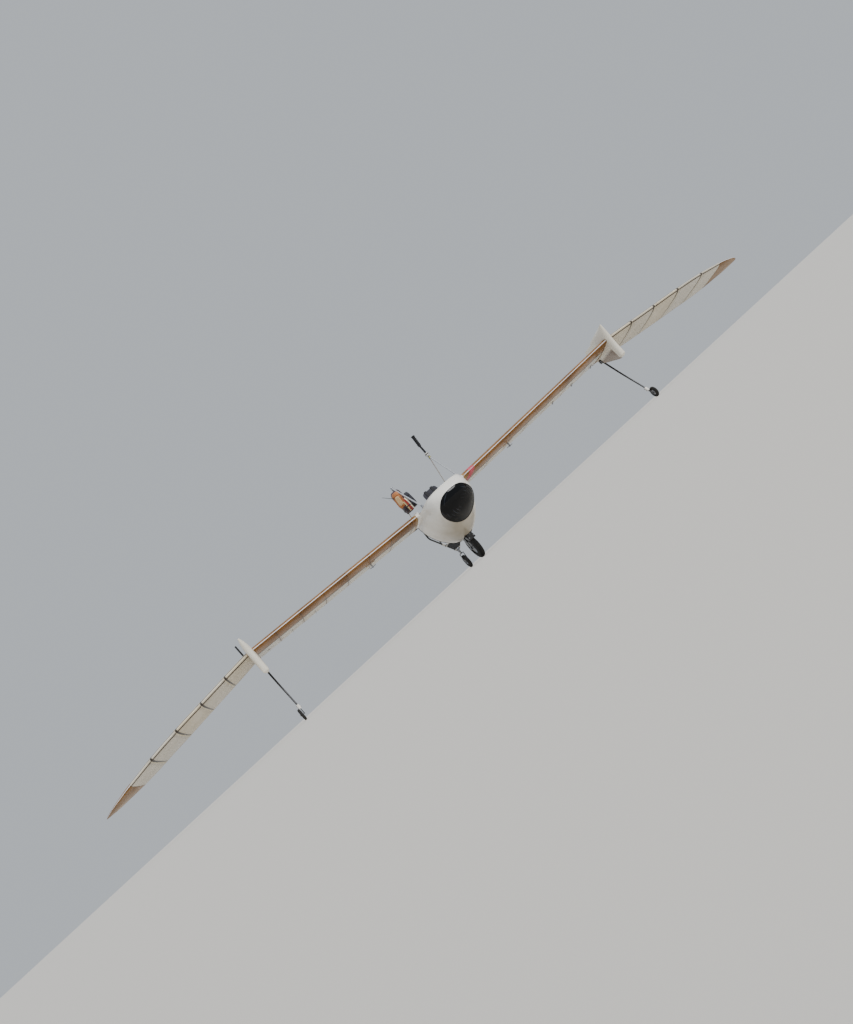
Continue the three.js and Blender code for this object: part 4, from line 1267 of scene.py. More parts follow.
@dataclass
class Fin:
    """One fin with its rudder, the saddle over the wing's break, and the outrigger rod's socket."""

    side: Side
    middle: float = 4.37
    heights: Row = (1.002, 1.04, 1.29, 1.48, 1.625, 1.727)
    front: Row = (-1.105, -1.142, -1.17, -1.2, -1.232, -1.246)
    rear: Row = (-0.96, -0.83, -0.238, -0.205, -0.24, -1.19)
    half: Row = (0.034, 0.054, 0.062, 0.062, 0.046, 0.014)
    hinge_y: float = -0.47
    rudder_low: float = 1.52
    rudder_high: float = 1.632
    clearance: float = 34 * MM
    nose_share: float = 0.12
    rod: Point = (4.374, -0.337, 1.262)  # middle of the rod's socket
    socket_half: Row = (0.028, 0.058)
    # Height of each ring of the socket, and how much larger than its half sizes the ring is
    socket_rings: tuple[Row, ...] = ((1.222, 0.0), (1.232, 0.006), (1.29, 0.004), (1.31, -0.004))

    def build(self) -> None:
        """Makes and dresses the fin's pieces."""
        sill = self.rudder_low - 12 * MM
        self.loft("lower", np.linspace(self.heights[0], sill, 64), None)
        self.loft("upper", np.linspace(sill, self.heights[-1], 40), self.hinge_y - self.clearance)
        self.saddle()
        self.socket()
        self.rudder()

    def width(self, share: Array, half: Array) -> Array:
        """Half the fin's thickness.

        A blunt quarter of a rounded square up to the nose share, then a straight taper from
        three tenths of the length to the rear edge.

        Args:
            share: Shares of the fin's length.
            half: Half the thickness at the widest place.

        Returns:
            Half the thickness at each share.
        """
        blunt = np.clip(share / self.nose_share, 0, 1)
        nose = (1 - (1 - blunt) ** 2.5) ** 0.45
        return half * nose * (1 - 0.94 * np.clip((share - 0.3) / 0.7, 0, 1)) + 1.5 * MM * share

    def loft(self, place: str, z: Array, cut: float | None) -> None:
        """Lofts and dresses a stretch of the fin from level rings.

        Args:
            place: Which stretch it is.
            z: Heights of the rings.
            cut: The y behind which the fin stops, if it does.
        """
        front, rear, half = (eased(z, self.heights, column) for column in (self.front, self.rear, self.half))
        rise = np.clip((z - self.heights[0]) / 0.05, 0, 1)
        round_end = 0.25 + 0.75 * np.sqrt(1 - (1 - rise) ** 2)
        length = rear - front
        reach = np.ones_like(z) if cut is None else np.minimum((cut - front) / length, 1.0)
        t = 1 - np.cos(np.linspace(0, 1, 40) * math.pi / 2)
        share = t[None, :] * reach[:, None]
        wide = self.width(share, (half * round_end)[:, None])
        y = front[:, None] + share * length[:, None]
        left = gathered(self.middle + wide, y, z[:, None])[:, ::-1]
        right = gathered(self.middle - wide, y, z[:, None])[:, 1:]
        word = self.side.word
        piece = lofted(f"fin_{place}_{word}", self.side, np.concatenate([left, right], axis=1), crease=50)
        dress(piece, FIN_GELCOAT, instead_of=[f"fin_{word}"])

    def saddle(self) -> None:
        """Lofts the cover over the rib that joins the two wing panels, with a bead along each edge."""
        word = self.side.word
        x = np.linspace(BREAK_INNER, BREAK_OUTER, 8)
        cover = skin(f"break_saddle_{word}", self.side, x, 0.0, 1.0, 34, proud=3 * MM)
        dress(cover, BARE_PLY, instead_of=[f"fin_{word}"])
        share = np.linspace(0.985, 0.015, 40)
        for place, edge in (("inner", BREAK_INNER + 7 * MM), ("outer", BREAK_OUTER - 7 * MM)):
            above, below = WING.point(edge, share, 1.0, 3 * MM), WING.point(edge, share[::-1], -1.0, 3 * MM)
            path = mirrored_x(np.concatenate([above, below]), self.side)
            dress(tube(f"saddle_bead_{place}_{word}", path, 3 * MM, 8), HEM)

    def socket(self) -> None:
        """Shapes the block that holds the outrigger rod, with two bolts."""
        word = self.side.word
        x, y, z = self.rod
        angle = circle(24)
        rows = []
        for level, grow in self.socket_rings:
            across = signed_power(np.cos(angle), 0.5) * (self.socket_half[0] + grow)
            along = signed_power(np.sin(angle), 0.5) * (self.socket_half[1] + grow)
            rows.append(gathered(x + across, y + along, level))
        block = lofted(f"rod_socket_{word}", self.side, np.array(rows))
        dress(block, ENAMEL, instead_of=[f"fin_{word}"])
        profile = both_ends([(0, -0.042), (0.009, -0.041), (0.009, -0.03)])
        for number, dy in enumerate((-0.035, 0.035)):
            place = (x * self.side.value, y + dy, z)
            dress(turned(f"socket_bolt_{number}_{word}", profile, place, Axis.X, 6), STEEL)

    def rudder(self) -> None:
        """Lofts the rudder with its half-round nose, and its hinge pin."""
        body = f"rudder_{self.side.word}"
        z = np.linspace(self.rudder_low, self.rudder_high, 16)[:, None]
        t = np.linspace(0, 1, 16)[:, None]
        top = np.sqrt(1 - np.clip((t - 0.8) / 0.2, 0, 1) ** 2 * 0.75)
        radius = (0.024 - 0.006 * t) * top
        rear = self.hinge_y + (0.43 - 0.06 * t) * (0.94 + 0.06 * top)
        angle = np.linspace(math.pi, 2 * math.pi, 13)[None, :]
        share = np.linspace(0.08, 1, 14)[None, :]
        side_y = self.hinge_y + share * (rear - self.hinge_y)
        side_x = radius * (1 - share) + 2.5 * MM * share
        across = np.concatenate([radius * np.cos(angle), side_x, -side_x[:, ::-1]], axis=1)
        along = np.concatenate([self.hinge_y + radius * np.sin(angle), side_y, side_y[:, ::-1]], axis=1)
        points = gathered(self.middle + across, along, z)
        vane = lofted(f"rudder_vane_{self.side.word}", self.side, points, crease=50)
        dress(vane, FIN_GELCOAT, body, [body])
        under = self.rudder_low - 0.3 * MM
        ends = straight((self.middle, self.hinge_y, 1.44), (self.middle, self.hinge_y, under))
        dress(tube(f"rudder_pin_{self.side.word}", mirrored_x(ends, self.side), 9 * MM), STEEL)


# Pod and cockpit


@dataclass
class Pod:
    """The egg-shaped pod: shell, window, rim, edges, wing stubs and inner formers.

    A section is a squared ellipse about its widest level. Along the length the sizes are read
    against the square root of the distance from the nose, which rounds the nose.
    """

    station: Row = (
        -1.315, -1.303, -1.265, -1.195, -1.085, -0.935, -0.735, -0.485, -0.2, 0.06, 0.32
    )
    half: Row = (0.0, 0.105, 0.21, 0.305, 0.39, 0.44, 0.475, 0.53, 0.565, 0.565, 0.54)
    level: Row = (1.16, 1.16, 1.16, 1.165, 1.17, 1.18, 1.205, 1.23, 1.242, 1.242, 1.242)
    top: Row = (1.16, 1.242, 1.308, 1.385, 1.47, 1.55, 1.615, 1.655, 1.67, 1.67, 1.67)
    low: Row = (1.16, 1.08, 1.02, 0.95, 0.86, 0.775, 0.685, 0.582, 0.5, 0.472, 0.48)
    belly: Row = (2.3, 2.3, 2.3, 2.3, 2.25, 2.15, 2.0, 1.9, 1.8, 1.8, 1.8)
    crown: float = 2.9
    rear: float = 0.215
    wall: float = 9 * MM
    rim: Point = (0.0, -1.06, 1.412)
    rim_normal: Point = (0.0, 0.1328, 0.9911)
    window: Point = (0.0, -1.262, 1.248)
    window_normal: Point = (0.0, -0.7626, -0.6469)
    slot_half: float = 0.095
    slot_front: float = -0.235

    def build(self) -> None:
        """Makes and dresses the pod's pieces."""
        self.shell()
        self.glass()
        self.edges()
        for side in Side:
            self.stub(side)
        self.formers()

    def read(self, column: Row, y: Array) -> Array:
        """Reads one column of the table at lengths y."""
        knots = np.sqrt(np.array(self.station) - self.station[0])
        return eased(np.sqrt(np.maximum(y - self.station[0], 0)), knots, column)

    def egg(self, y: Array, angle: Array, inset: float = 0.0) -> Array:
        """Places points of the egg.

        Across and up are the cosine and sine of the angle, each raised to two over the power
        with its sign kept, times the half width and the height above or below the level. The
        power is lower below the level, where the egg is more pointed, and falls towards the rear.

        Args:
            y: Lengths.
            angle: Angles round the section, from the left side upwards.
            inset: How far inside the skin.

        Returns:
            The points.
        """
        power = 2 / np.where(np.sin(angle) > 0, self.crown, self.read(self.belly, y))
        across, up = (signed_power(part, power) for part in (np.cos(angle), np.sin(angle)))
        level = self.read(self.level, y)
        high = np.maximum(self.read(self.top, y) - level - inset, 0)
        deep = np.maximum(level - self.read(self.low, y) - inset, 0)
        x = np.maximum(self.read(self.half, y) - inset, 0) * across
        return gathered(x, y, level + np.where(up > 0, high, deep) * up)

    def side_at(self, y: Array, z: Array) -> Array:
        """Finds half the egg's width.

        Args:
            y: Lengths.
            z: Heights.

        Returns:
            Half the width at each place.
        """
        level = self.read(self.level, y)
        reach = np.where(z > level, self.read(self.top, y) - level, level - self.read(self.low, y))
        share = np.clip(np.abs(z - level) / reach, 0, 1)
        power = np.where(z > level, self.crown, self.read(self.belly, y))
        return self.read(self.half, y) * (1 - share**power) ** (1 / power)

    def bottom_at(self, x: Array, y: Array) -> Array:
        """Finds the height of the egg's underside.

        Args:
            x: Places across.
            y: Lengths.

        Returns:
            The height at each place.
        """
        level = self.read(self.level, y)
        share = np.clip(np.abs(x) / self.read(self.half, y), 0, 1)
        power = self.read(self.belly, y)
        depth = (1 - share**power) ** (1 / power)
        return level - (level - self.read(self.low, y)) * depth

    def cut_line(self, point: Point, normal: Point, angle: Array, inset: float) -> Array:
        """Finds the line where a plane cuts the egg.

        Along each angle, the distance to the plane changes sign once; the point lies between the
        two samples beside the change, in proportion to their distances.

        Args:
            point: A point of the plane.
            normal: The plane's normal.
            angle: The angles to follow.
            inset: How far inside the skin.

        Returns:
            One point for each angle.
        """
        last = math.sqrt(self.station[-1] - self.station[0] - 5 * MM)
        y = self.station[0] + np.linspace(0.02, last, 600) ** 2
        grid = self.egg(y[:, None], angle[None, :], inset)
        gap = (grid - np.array(point)) @ np.array(normal)
        crossing = np.sign(gap[:-1]) != np.sign(gap[1:])
        i = crossing.argmax(axis=0)
        column = np.arange(len(angle))
        before, after = gap[i, column], gap[i + 1, column]
        share = (before / (before - after))[:, None]
        return grid[i, column] * (1 - share) + grid[i + 1, column] * share

    def skin_part(self, name: str) -> Thing:
        """Makes the egg's whole skin as far as its rear edge, without a wall, under a given name."""
        y = self.station[0] + np.linspace(0, math.sqrt(self.rear + 0.02 - self.station[0]), 132) ** 2
        piece = lattice(name, self.egg(y[:, None], circle(168)[None, :]), around=True, crease=60)
        trimmed(piece, (0, self.rear, 0), (0, 1, 0))
        return piece

    def shell(self) -> None:
        """Cuts the opening, the window and the wheel's slot out of the skin and gives it a wall."""
        piece = self.skin_part("pod_skin")
        trimmed(piece, self.rim, self.rim_normal)
        trimmed(piece, self.window, self.window_normal)
        low = (-self.slot_half, self.slot_front, 0.3)
        slotted(piece, low, (self.slot_half, self.rear + 0.1, 0.75))
        walled(piece, self.wall)
        dress(piece, GELCOAT, instead_of=["pod_shell"])

    def glass(self) -> None:
        """Keeps the part of the skin ahead of the window's plane."""
        piece = self.skin_part("window_bubble")
        trimmed(piece, self.window, [-part for part in self.window_normal])
        walled(piece, 5 * MM)
        dress(piece, ACRYLIC, instead_of=["windscreen"])

    def edges(self) -> None:
        """Runs the rolled rim, the window's seal, the rear hem and the slot's edging."""
        arc = np.linspace(0.0, math.pi, 150)
        rim = self.cut_line(self.rim, self.rim_normal, arc, 4 * MM)
        dress(tube("rim_roll", rim, 11 * MM, 14), GELCOAT)
        seal = self.cut_line(self.window, self.window_normal, circle(200), -1 * MM)
        dress(tube("window_seal", seal, 6 * MM, 10, endless=True), HEM)
        arc = np.linspace(math.pi, 2 * math.pi, 120)
        hem = self.egg(np.full(120, self.rear), arc, 3 * MM)
        keep = np.abs(hem[:, 0]) > self.slot_half
        for side in Side:
            part = hem[keep & (hem[:, 0] * side.value > 0)]
            dress(tube(f"rear_hem_{side.word}", part, 8 * MM, 10), HEM)
        left = straight((self.slot_half, self.rear), (self.slot_half, self.slot_front), 24)
        ahead = straight((self.slot_half, self.slot_front), (-self.slot_half, self.slot_front), 12)
        path = np.concatenate([left, ahead, left[::-1] * (-1, 1)])
        edge = gathered(*path.T, self.bottom_at(*path.T) + 3 * MM)
        dress(tube("slot_edging", edge, 6 * MM, 10), HEM)

    def stub(self, side: Side) -> None:
        """Lofts the fairing from the pod's skin to the root rib, flared towards the pod."""
        share, face = nose_ring(30)
        out = np.linspace(0, 1, 12)[:, None]
        flare = 4 * MM + 24 * MM * (1 - out) ** 2.4
        points = WING.point(ROOT, share, face, flare)
        start = self.side_at(points[..., 1], points[..., 2]) - 3 * MM
        points[..., 0] = start + (ROOT - start) * out
        piece = lofted(f"wing_stub_{side.word}", side, points, crease=50)
        trimmed(piece, (0, self.rear, 0), (0, 1, 0), close=True)
        dress(piece, GELCOAT, instead_of=["pod_shell"])

    def formers(self) -> None:
        """Adds two ply formers inside the shell, open above."""
        for name, y, deep in (("front", -0.6, 0.035), ("spar", -0.19, 0.045)):
            angle = np.linspace(math.pi * 1.06, math.pi * 1.94, 90)
            outer = self.wall + 0.4 * MM
            corners = ((-6, outer), (6, outer), (6, outer + deep), (-6, outer + deep))
            rows = [self.egg(np.full(90, y + dy * MM), angle, inset) for dy, inset in corners]
            dress(lofted(f"former_{name}", Side.LEFT, np.stack(rows, axis=1)), BARE_PLY)


def walled(obj: Thing, thickness: float) -> None:
    """Gives a skin a wall inwards.

    Args:
        obj: The skin.
        thickness: The wall's thickness.
    """
    wall = obj.modifiers.new("wall", "SOLIDIFY")
    wall.thickness = thickness
    wall.offset = -1.0
    wall.use_even_offset = True


def slotted(obj: Thing, low: Point, high: Point) -> None:
    """Cuts away the part of a skin that lies inside an upright box.

    Args:
        obj: The skin.
        low: The box's lowest corner.
        high: Its highest corner.
    """
    with editing(obj.data) as work:
        for axis in (Axis.X, Axis.Y):
            for corner in (low, high):
                bisected(work, corner, axis.value)
        middles = ((face, zip(low, face.calc_center_median(), high)) for face in work.faces)
        inside = [face for face, parts in middles if all(a < part < b for a, part, b in parts)]
        bmesh.ops.delete(work, geom=inside, context="FACES")


def pillow(
    name: str,
    centre: Sequence[float],
    axes: Sequence[Sequence[float]],
    half: Point,
    seams: Sequence[float] = (),
    square: float = 0.32,
) -> Thing:
    """Makes a stuffed pad: a squared ellipsoid with sewn channels and sides that pull in.

    Rings follow each other along the length b, closer towards its ends. Half the width is
    (1 - |b|^n)^(1/n), half the thickness the same with a lower n, and a ring is the cosine and
    sine of an angle, each raised to a small power with its sign kept. At a seam the thickness
    drops along a bell curve.

    Args:
        name: The object's name.
        centre: The pad's middle.
        axes: Its width, length and thickness directions.
        half: Half its width, length and thickness.
        seams: Places of the sewn channels, as shares of the half length.
        square: How square the outline is: 0 is a box and 1 an ellipse.

    Returns:
        The closed pad.
    """
    b = np.sin(np.linspace(-math.pi / 2, math.pi / 2, 132))[:, None]
    turn = circle(72)[None, :]

    def ended(power: float) -> Array:
        """Falls from 1 in the middle of the length to 0 at its ends."""
        return np.maximum(1 - np.abs(b) ** power, 0) ** (1 / power)

    a = ended(2 / square) * signed_power(np.cos(turn), 0.42)
    c = ended(3.6) * signed_power(np.sin(turn), 0.62)
    for seam in seams:
        c = c * (1 - 0.2 * np.exp(-(((b - seam) / 0.05) ** 2)))
    c = c * (1 - 0.18 * (a**2 + b**2) / 2)
    pulled = (a * (1 - 0.035 * (1 - b**2)), b * (1 - 0.03 * (1 - a**2)), c)
    basis = unit(axes)
    offsets = ((part * reach)[..., None] * way for part, reach, way in zip(pulled, half, basis))
    return lattice(name, np.array(centre) + sum(offsets), around=True, crease=70)


def strap(
    name: str,
    path: Array,
    across: Sequence[float],
    half: float,
    thick: float = 1.8 * MM,
    endless: bool = False,
) -> Thing:
    """Sweeps a flat strap along a path, with its width always in one direction.

    Each ring has four corners: the path point plus and minus half the width, at the path and
    one thickness outwards, which is square to the width and to the path.

    Args:
        name: The object's name.
        path: Points along the strap's inner face.
        across: Direction of the strap's width.
        half: Half its width.
        thick: Its thickness; a negative one puts it on the path's other side.
        endless: Joins the path's end to its start.

    Returns:
        The closed strap.
    """
    wide = unit(across) * half
    out = unit(np.cross(wide, steps_along(path, endless))) * thick
    ring = np.stack([path - wide, path - wide + out, path + wide + out, path + wide], axis=1)
    return lattice(name, ring, around=True, endless=endless, capped=not endless, crease=50)


@dataclass
class Cockpit:
    """What is inside the pod: floor, tube frame, seat, harness, stick and pedals."""

    pan_front: Point = (0.0, -0.73, 1.13)
    pan_rear: Point = (0.0, -0.36, 1.088)
    back_foot: Point = (0.0, -0.36, 1.07)
    back_top: Point = (0.0, -0.172, 1.642)
    # Places of a shoulder strap: along the seat back past its top, and off it
    shoulder: tuple[Row, ...] = (
        (-0.2, -0.048), (-0.06, -0.048), (-0.012, -0.046), (0.004, -0.034), (0.006, -0.014),
        (-0.006, 0.001), (-0.06, 0.005), (-0.3, 0.006), (-0.47, 0.012),
    )
    lap: tuple[Point, ...] = (
        (-0.2, -0.4, 1.075), (-0.18, -0.42, 1.11), (-0.09, -0.47, 1.122), (0.0, -0.49, 1.126),
        (0.09, -0.47, 1.122), (0.18, -0.42, 1.11), (0.2, -0.4, 1.075),
    )
    buckle: Point = (0.0, -0.49, 1.135)
    stick_foot: Point = (0.0, -0.79, 0.7903)
    grip_foot: Point = (0.0, -0.77, 1.17)
    grip_top: Point = (0.0, -0.764, 1.3)

    def build(self) -> None:
        """Makes and dresses the cockpit."""
        for node, finish in (
            ("seat_frame", ENAMEL),
            ("centre_spar", BARE_PLY),
            ("cockpit_floor", BARE_PLY),
            ("rudder_pedals", ALLOY),
        ):
            dress(cleaned_copy(node, f"{node}_finished", 1.5 * MM), finish, instead_of=[node])
        ends = straight((-ROOT, *CROSS_TUBE_YZ), (ROOT, *CROSS_TUBE_YZ))
        dress(tube("cross_tube", ends, CROSS_TUBE_RADIUS, 24), ENAMEL, instead_of=["rear_cross_tube"])
        self.seat()
        self.harness()
        self.stick()

    def seat(self) -> None:
        """Makes the seat's two pads, each square to its own plane."""
        pan, back = (self.pan_front, self.pan_rear), (self.back_foot, self.back_top)
        for node, (start, end), depth, half, seams, fill in (
            ("seat_pan", pan, 0.031, (0.203, 0.184, 0.033), (-0.4, 0.1, 0.55), 0.7),
            ("seat_back", back, 0.021, (0.168, 0.3, 0.023), (-0.5, -0.1, 0.3, 0.66), 0.6),
        ):
            start, end = np.array(start), np.array(end)
            along = unit(end - start)
            up = np.cross((1, 0, 0), along)
            pad = pillow(f"{node}_pad", (start + end) / 2 - up * depth, ((1, 0, 0), along, up), half, seams)
            dress(pad, SEAT_CLOTH, instead_of=[node])

    def harness(self) -> None:
        """Lays two shoulder straps over the seat back, and a lap strap with its buckle over the pan."""
        foot, top = np.array(self.back_foot), np.array(self.back_top)
        along = unit(top - foot)
        up = np.cross((1, 0, 0), along)
        for word, x in (("left", 0.075), ("right", -0.075)):
            places = [top + along * a + up * b + (x * (1 + 0.1 * a), 0, 0) for a, b in self.shoulder]
            path = flowing(places, 80)
            dress(strap(f"shoulder_strap_{word}", path, (1, 0, 0), 24 * MM, -2 * MM), STRAP_BLACK)
        dress(strap("lap_strap", flowing(self.lap, 60), (0, 0.99, -0.11), 22 * MM, -2 * MM), STRAP_BLACK)
        profile = [(0, -0.008), (0.03, -0.008), (0.034, -0.004), (0.034, 0.004), (0.028, 0.009), (0, 0.01)]
        dress(turned("harness_buckle", profile, self.buckle, (0, -0.35, 1), 32), STEEL)

    def stick(self) -> None:
        """Makes the stick's base, folded boot, shaft and grooved grip."""
        foot = np.array(self.stick_foot)
        profile = [(0, 0), (0.045, 0), (0.045, 0.01), (0.036, 0.013), (0, 0.014)]
        base = turned("stick_base", profile, foot, Axis.Z, 40)
        dress(base, STEEL, instead_of=["control_stick"])
        along = np.linspace(0, 1, 60)
        radius = (0.034 - 0.02 * along) * (1 + 0.1 * np.sin(along * 2 * math.pi * 5))
        boot = straight(foot + (0, 0, 0.012), foot + (0, 0.005, 0.11), 60)
        dress(tube("stick_boot", boot, radius, 24), RUBBER)
        shaft = straight(foot + (0, 0, 0.08), np.array(self.grip_foot) + (0, 0, 0.02), 3)
        dress(tube("stick_shaft", shaft, 11 * MM), ENAMEL)
        radius = 0.0165 + 0.0018 * np.cos(along * 2 * math.pi * 4) - 0.003 * along**6
        grip = tube("stick_grip", straight(self.grip_foot, self.grip_top, 60), radius, 24)
        dress(grip, GRIP)
        profile = [(0, -0.002), (0.007, -0.002), (0.006, 0.005), (0, 0.006)]
        dress(turned("stick_button", profile, self.grip_top, Axis.Z, 20), RED_TAPE)


# Gear


def bolt(name: str, centre: Sequence[float], axis: Axis, reach: float, head: float) -> Thing:
    """Makes a through bolt: a shank with a hexagon head at one end and a nut at the other.

    Args:
        name: The object's name.
        centre: Its middle.
        axis: The way it runs.
        reach: Half its length.
        head: Radius of its heads.

    Returns:
        The closed bolt.
    """
    inner = -reach + 6 * MM
    half = [(0, -reach), (head * 0.9, -reach), (head, -reach + 2 * MM), (head, inner), (head * 0.5, inner)]
    return turned(name, both_ends(half), centre, axis, 6, crease=25)


@dataclass
class Wheel:
    """A wheel that turns about X and stands on the ground: tyre with its tread, hub and bolts."""

    name: str
    body: str
    nodes: tuple[str, ...]
    centre: Point
    width: float
    rim: float
    bore: float
    blocks: int
    tread: float

    def build(self) -> None:
        """Makes and dresses the wheel."""
        self.tyre()
        self.hub()

    def tyre(self) -> None:
        """Turns the tyre and cuts its tread.

        The side bulges as a squared ellipse. Grooves are where the cosine of blocks times the
        angle, shifted with the distance from the middle, falls low, and two lines run around.
        """
        half = self.width / 2
        steps = self.blocks * 8
        t = np.linspace(0, math.pi, 41)
        crown = self.centre[2] - self.rim
        radius = self.rim + crown * np.abs(np.sin(t)) ** 0.7
        across = -half * signed_power(np.cos(t), 0.62)
        angle = circle(steps)[None, :]
        offset = np.abs(across[:, None]) / half
        diagonal = np.cos(self.blocks * angle + 2.6 * offset * np.sign(across[:, None]))
        groove = np.clip((diagonal - 0.55) / 0.25, 0, 1)
        lines = np.exp(-(((offset - 0.34) / 0.07) ** 2))
        tread = np.clip((radius[:, None] - self.rim - 0.6 * crown) / (0.25 * crown), 0, 1)
        relief = -self.tread * np.maximum(groove * (offset > 0.12), lines) * tread
        seat = np.array([[self.rim - 2 * MM, half * 0.55], [self.rim - 2 * MM, -half * 0.55]])
        profile = np.vstack([np.column_stack([radius, across]), seat])
        relief = np.vstack([relief, np.zeros((2, steps))])
        name = f"{self.name}_tyre_dressed"
        tyre = turned(name, profile, self.centre, Axis.X, steps, relief=relief, crease=44)
        dress(tyre, RUBBER, self.body, self.nodes)

    def hub(self) -> None:
        """Turns the hub, with a stepped flange on each side, and sets its bolts."""
        half = self.width / 2
        face = half * 0.62
        boss, web = self.bore * 2.7, self.rim * 0.72
        profile = both_ends([
            (self.bore, -half * 0.98), (self.bore * 2.3, -half * 0.98), (self.bore * 2.6, -half * 0.8),
            (boss, -face * 0.5), (web, -face * 0.42),
            (self.rim * 0.84, -face), (self.rim * 0.97, -face * 1.08),
        ])
        hub = turned(f"{self.name}_hub_dressed", profile, self.centre, Axis.X, 72, crease=25)
        soften(hub, 1 * MM, 25)
        dress(hub, HUB_ALLOY, self.body)
        parts = []
        x, y, z = self.centre
        reach = boss + (web - boss) * 0.5
        for angle in np.arange(6) * math.pi / 3:
            place = (x, y + reach * math.cos(angle), z + reach * math.sin(angle))
            parts.append(bolt("hub_bolt", place, Axis.X, face * 0.5 + 6 * MM, self.rim * 0.055))
        dress(joined(f"{self.name}_hub_bolts", parts), STEEL, self.body)


@dataclass
class MainGear:
    """The main wheel and its bracket under the pod."""

    axle: Point = (0.0, 0.115, 0.2687)
    plate: float = 0.0755
    bracket_bolts: tuple[Row, ...] = ((0.06, 0.6), (0.12, 0.6), (0.04, 0.52), (0.135, 0.52))  # y and z
    guard_bolts: tuple[Point, ...] = ((-0.05, -0.192, 0.43), (0.05, -0.192, 0.43), (0.0, -0.205, 0.495))
    guard_face: Point = (0.0, -0.97, 0.25)

    def build(self) -> None:
        """Makes and dresses the bracket, its bolts, the axle nuts and the wheel."""
        bracket = cleaned_copy("main_wheel_bracket", "wheel_bracket", 2 * MM)
        dress(bracket, ENAMEL, instead_of=["main_wheel_bracket"])
        reach = self.plate + 9 * MM
        parts = [bolt("bracket_bolt", (0, y, z), Axis.X, reach, 11 * MM) for y, z in self.bracket_bolts]
        head = [(0, -0.004), (0.013, -0.004), (0.013, 0.008), (0.011, 0.011), (0, 0.012)]
        parts += [turned("guard_bolt", head, at, self.guard_face, 6, crease=25) for at in self.guard_bolts]
        dress(joined("bracket_bolts", parts), BRIGHT_STEEL)
        _, y, z = self.axle
        nut, x = collar(0, 0.022, 7 * MM, 2 * MM, 3 * MM), self.plate + 8 * MM
        nuts = [turned("nut", nut, place, Axis.X, 6) for place in ((x, y, z), (-x, y, z))]
        dress(joined("main_axle_nuts", nuts), STEEL)
        nodes = ("main_tyre", "main_hub")
        Wheel("main", "main_wheel", nodes, self.axle, 0.115, 0.15, 13.3 * MM, blocks=26, tread=6 * MM).build()


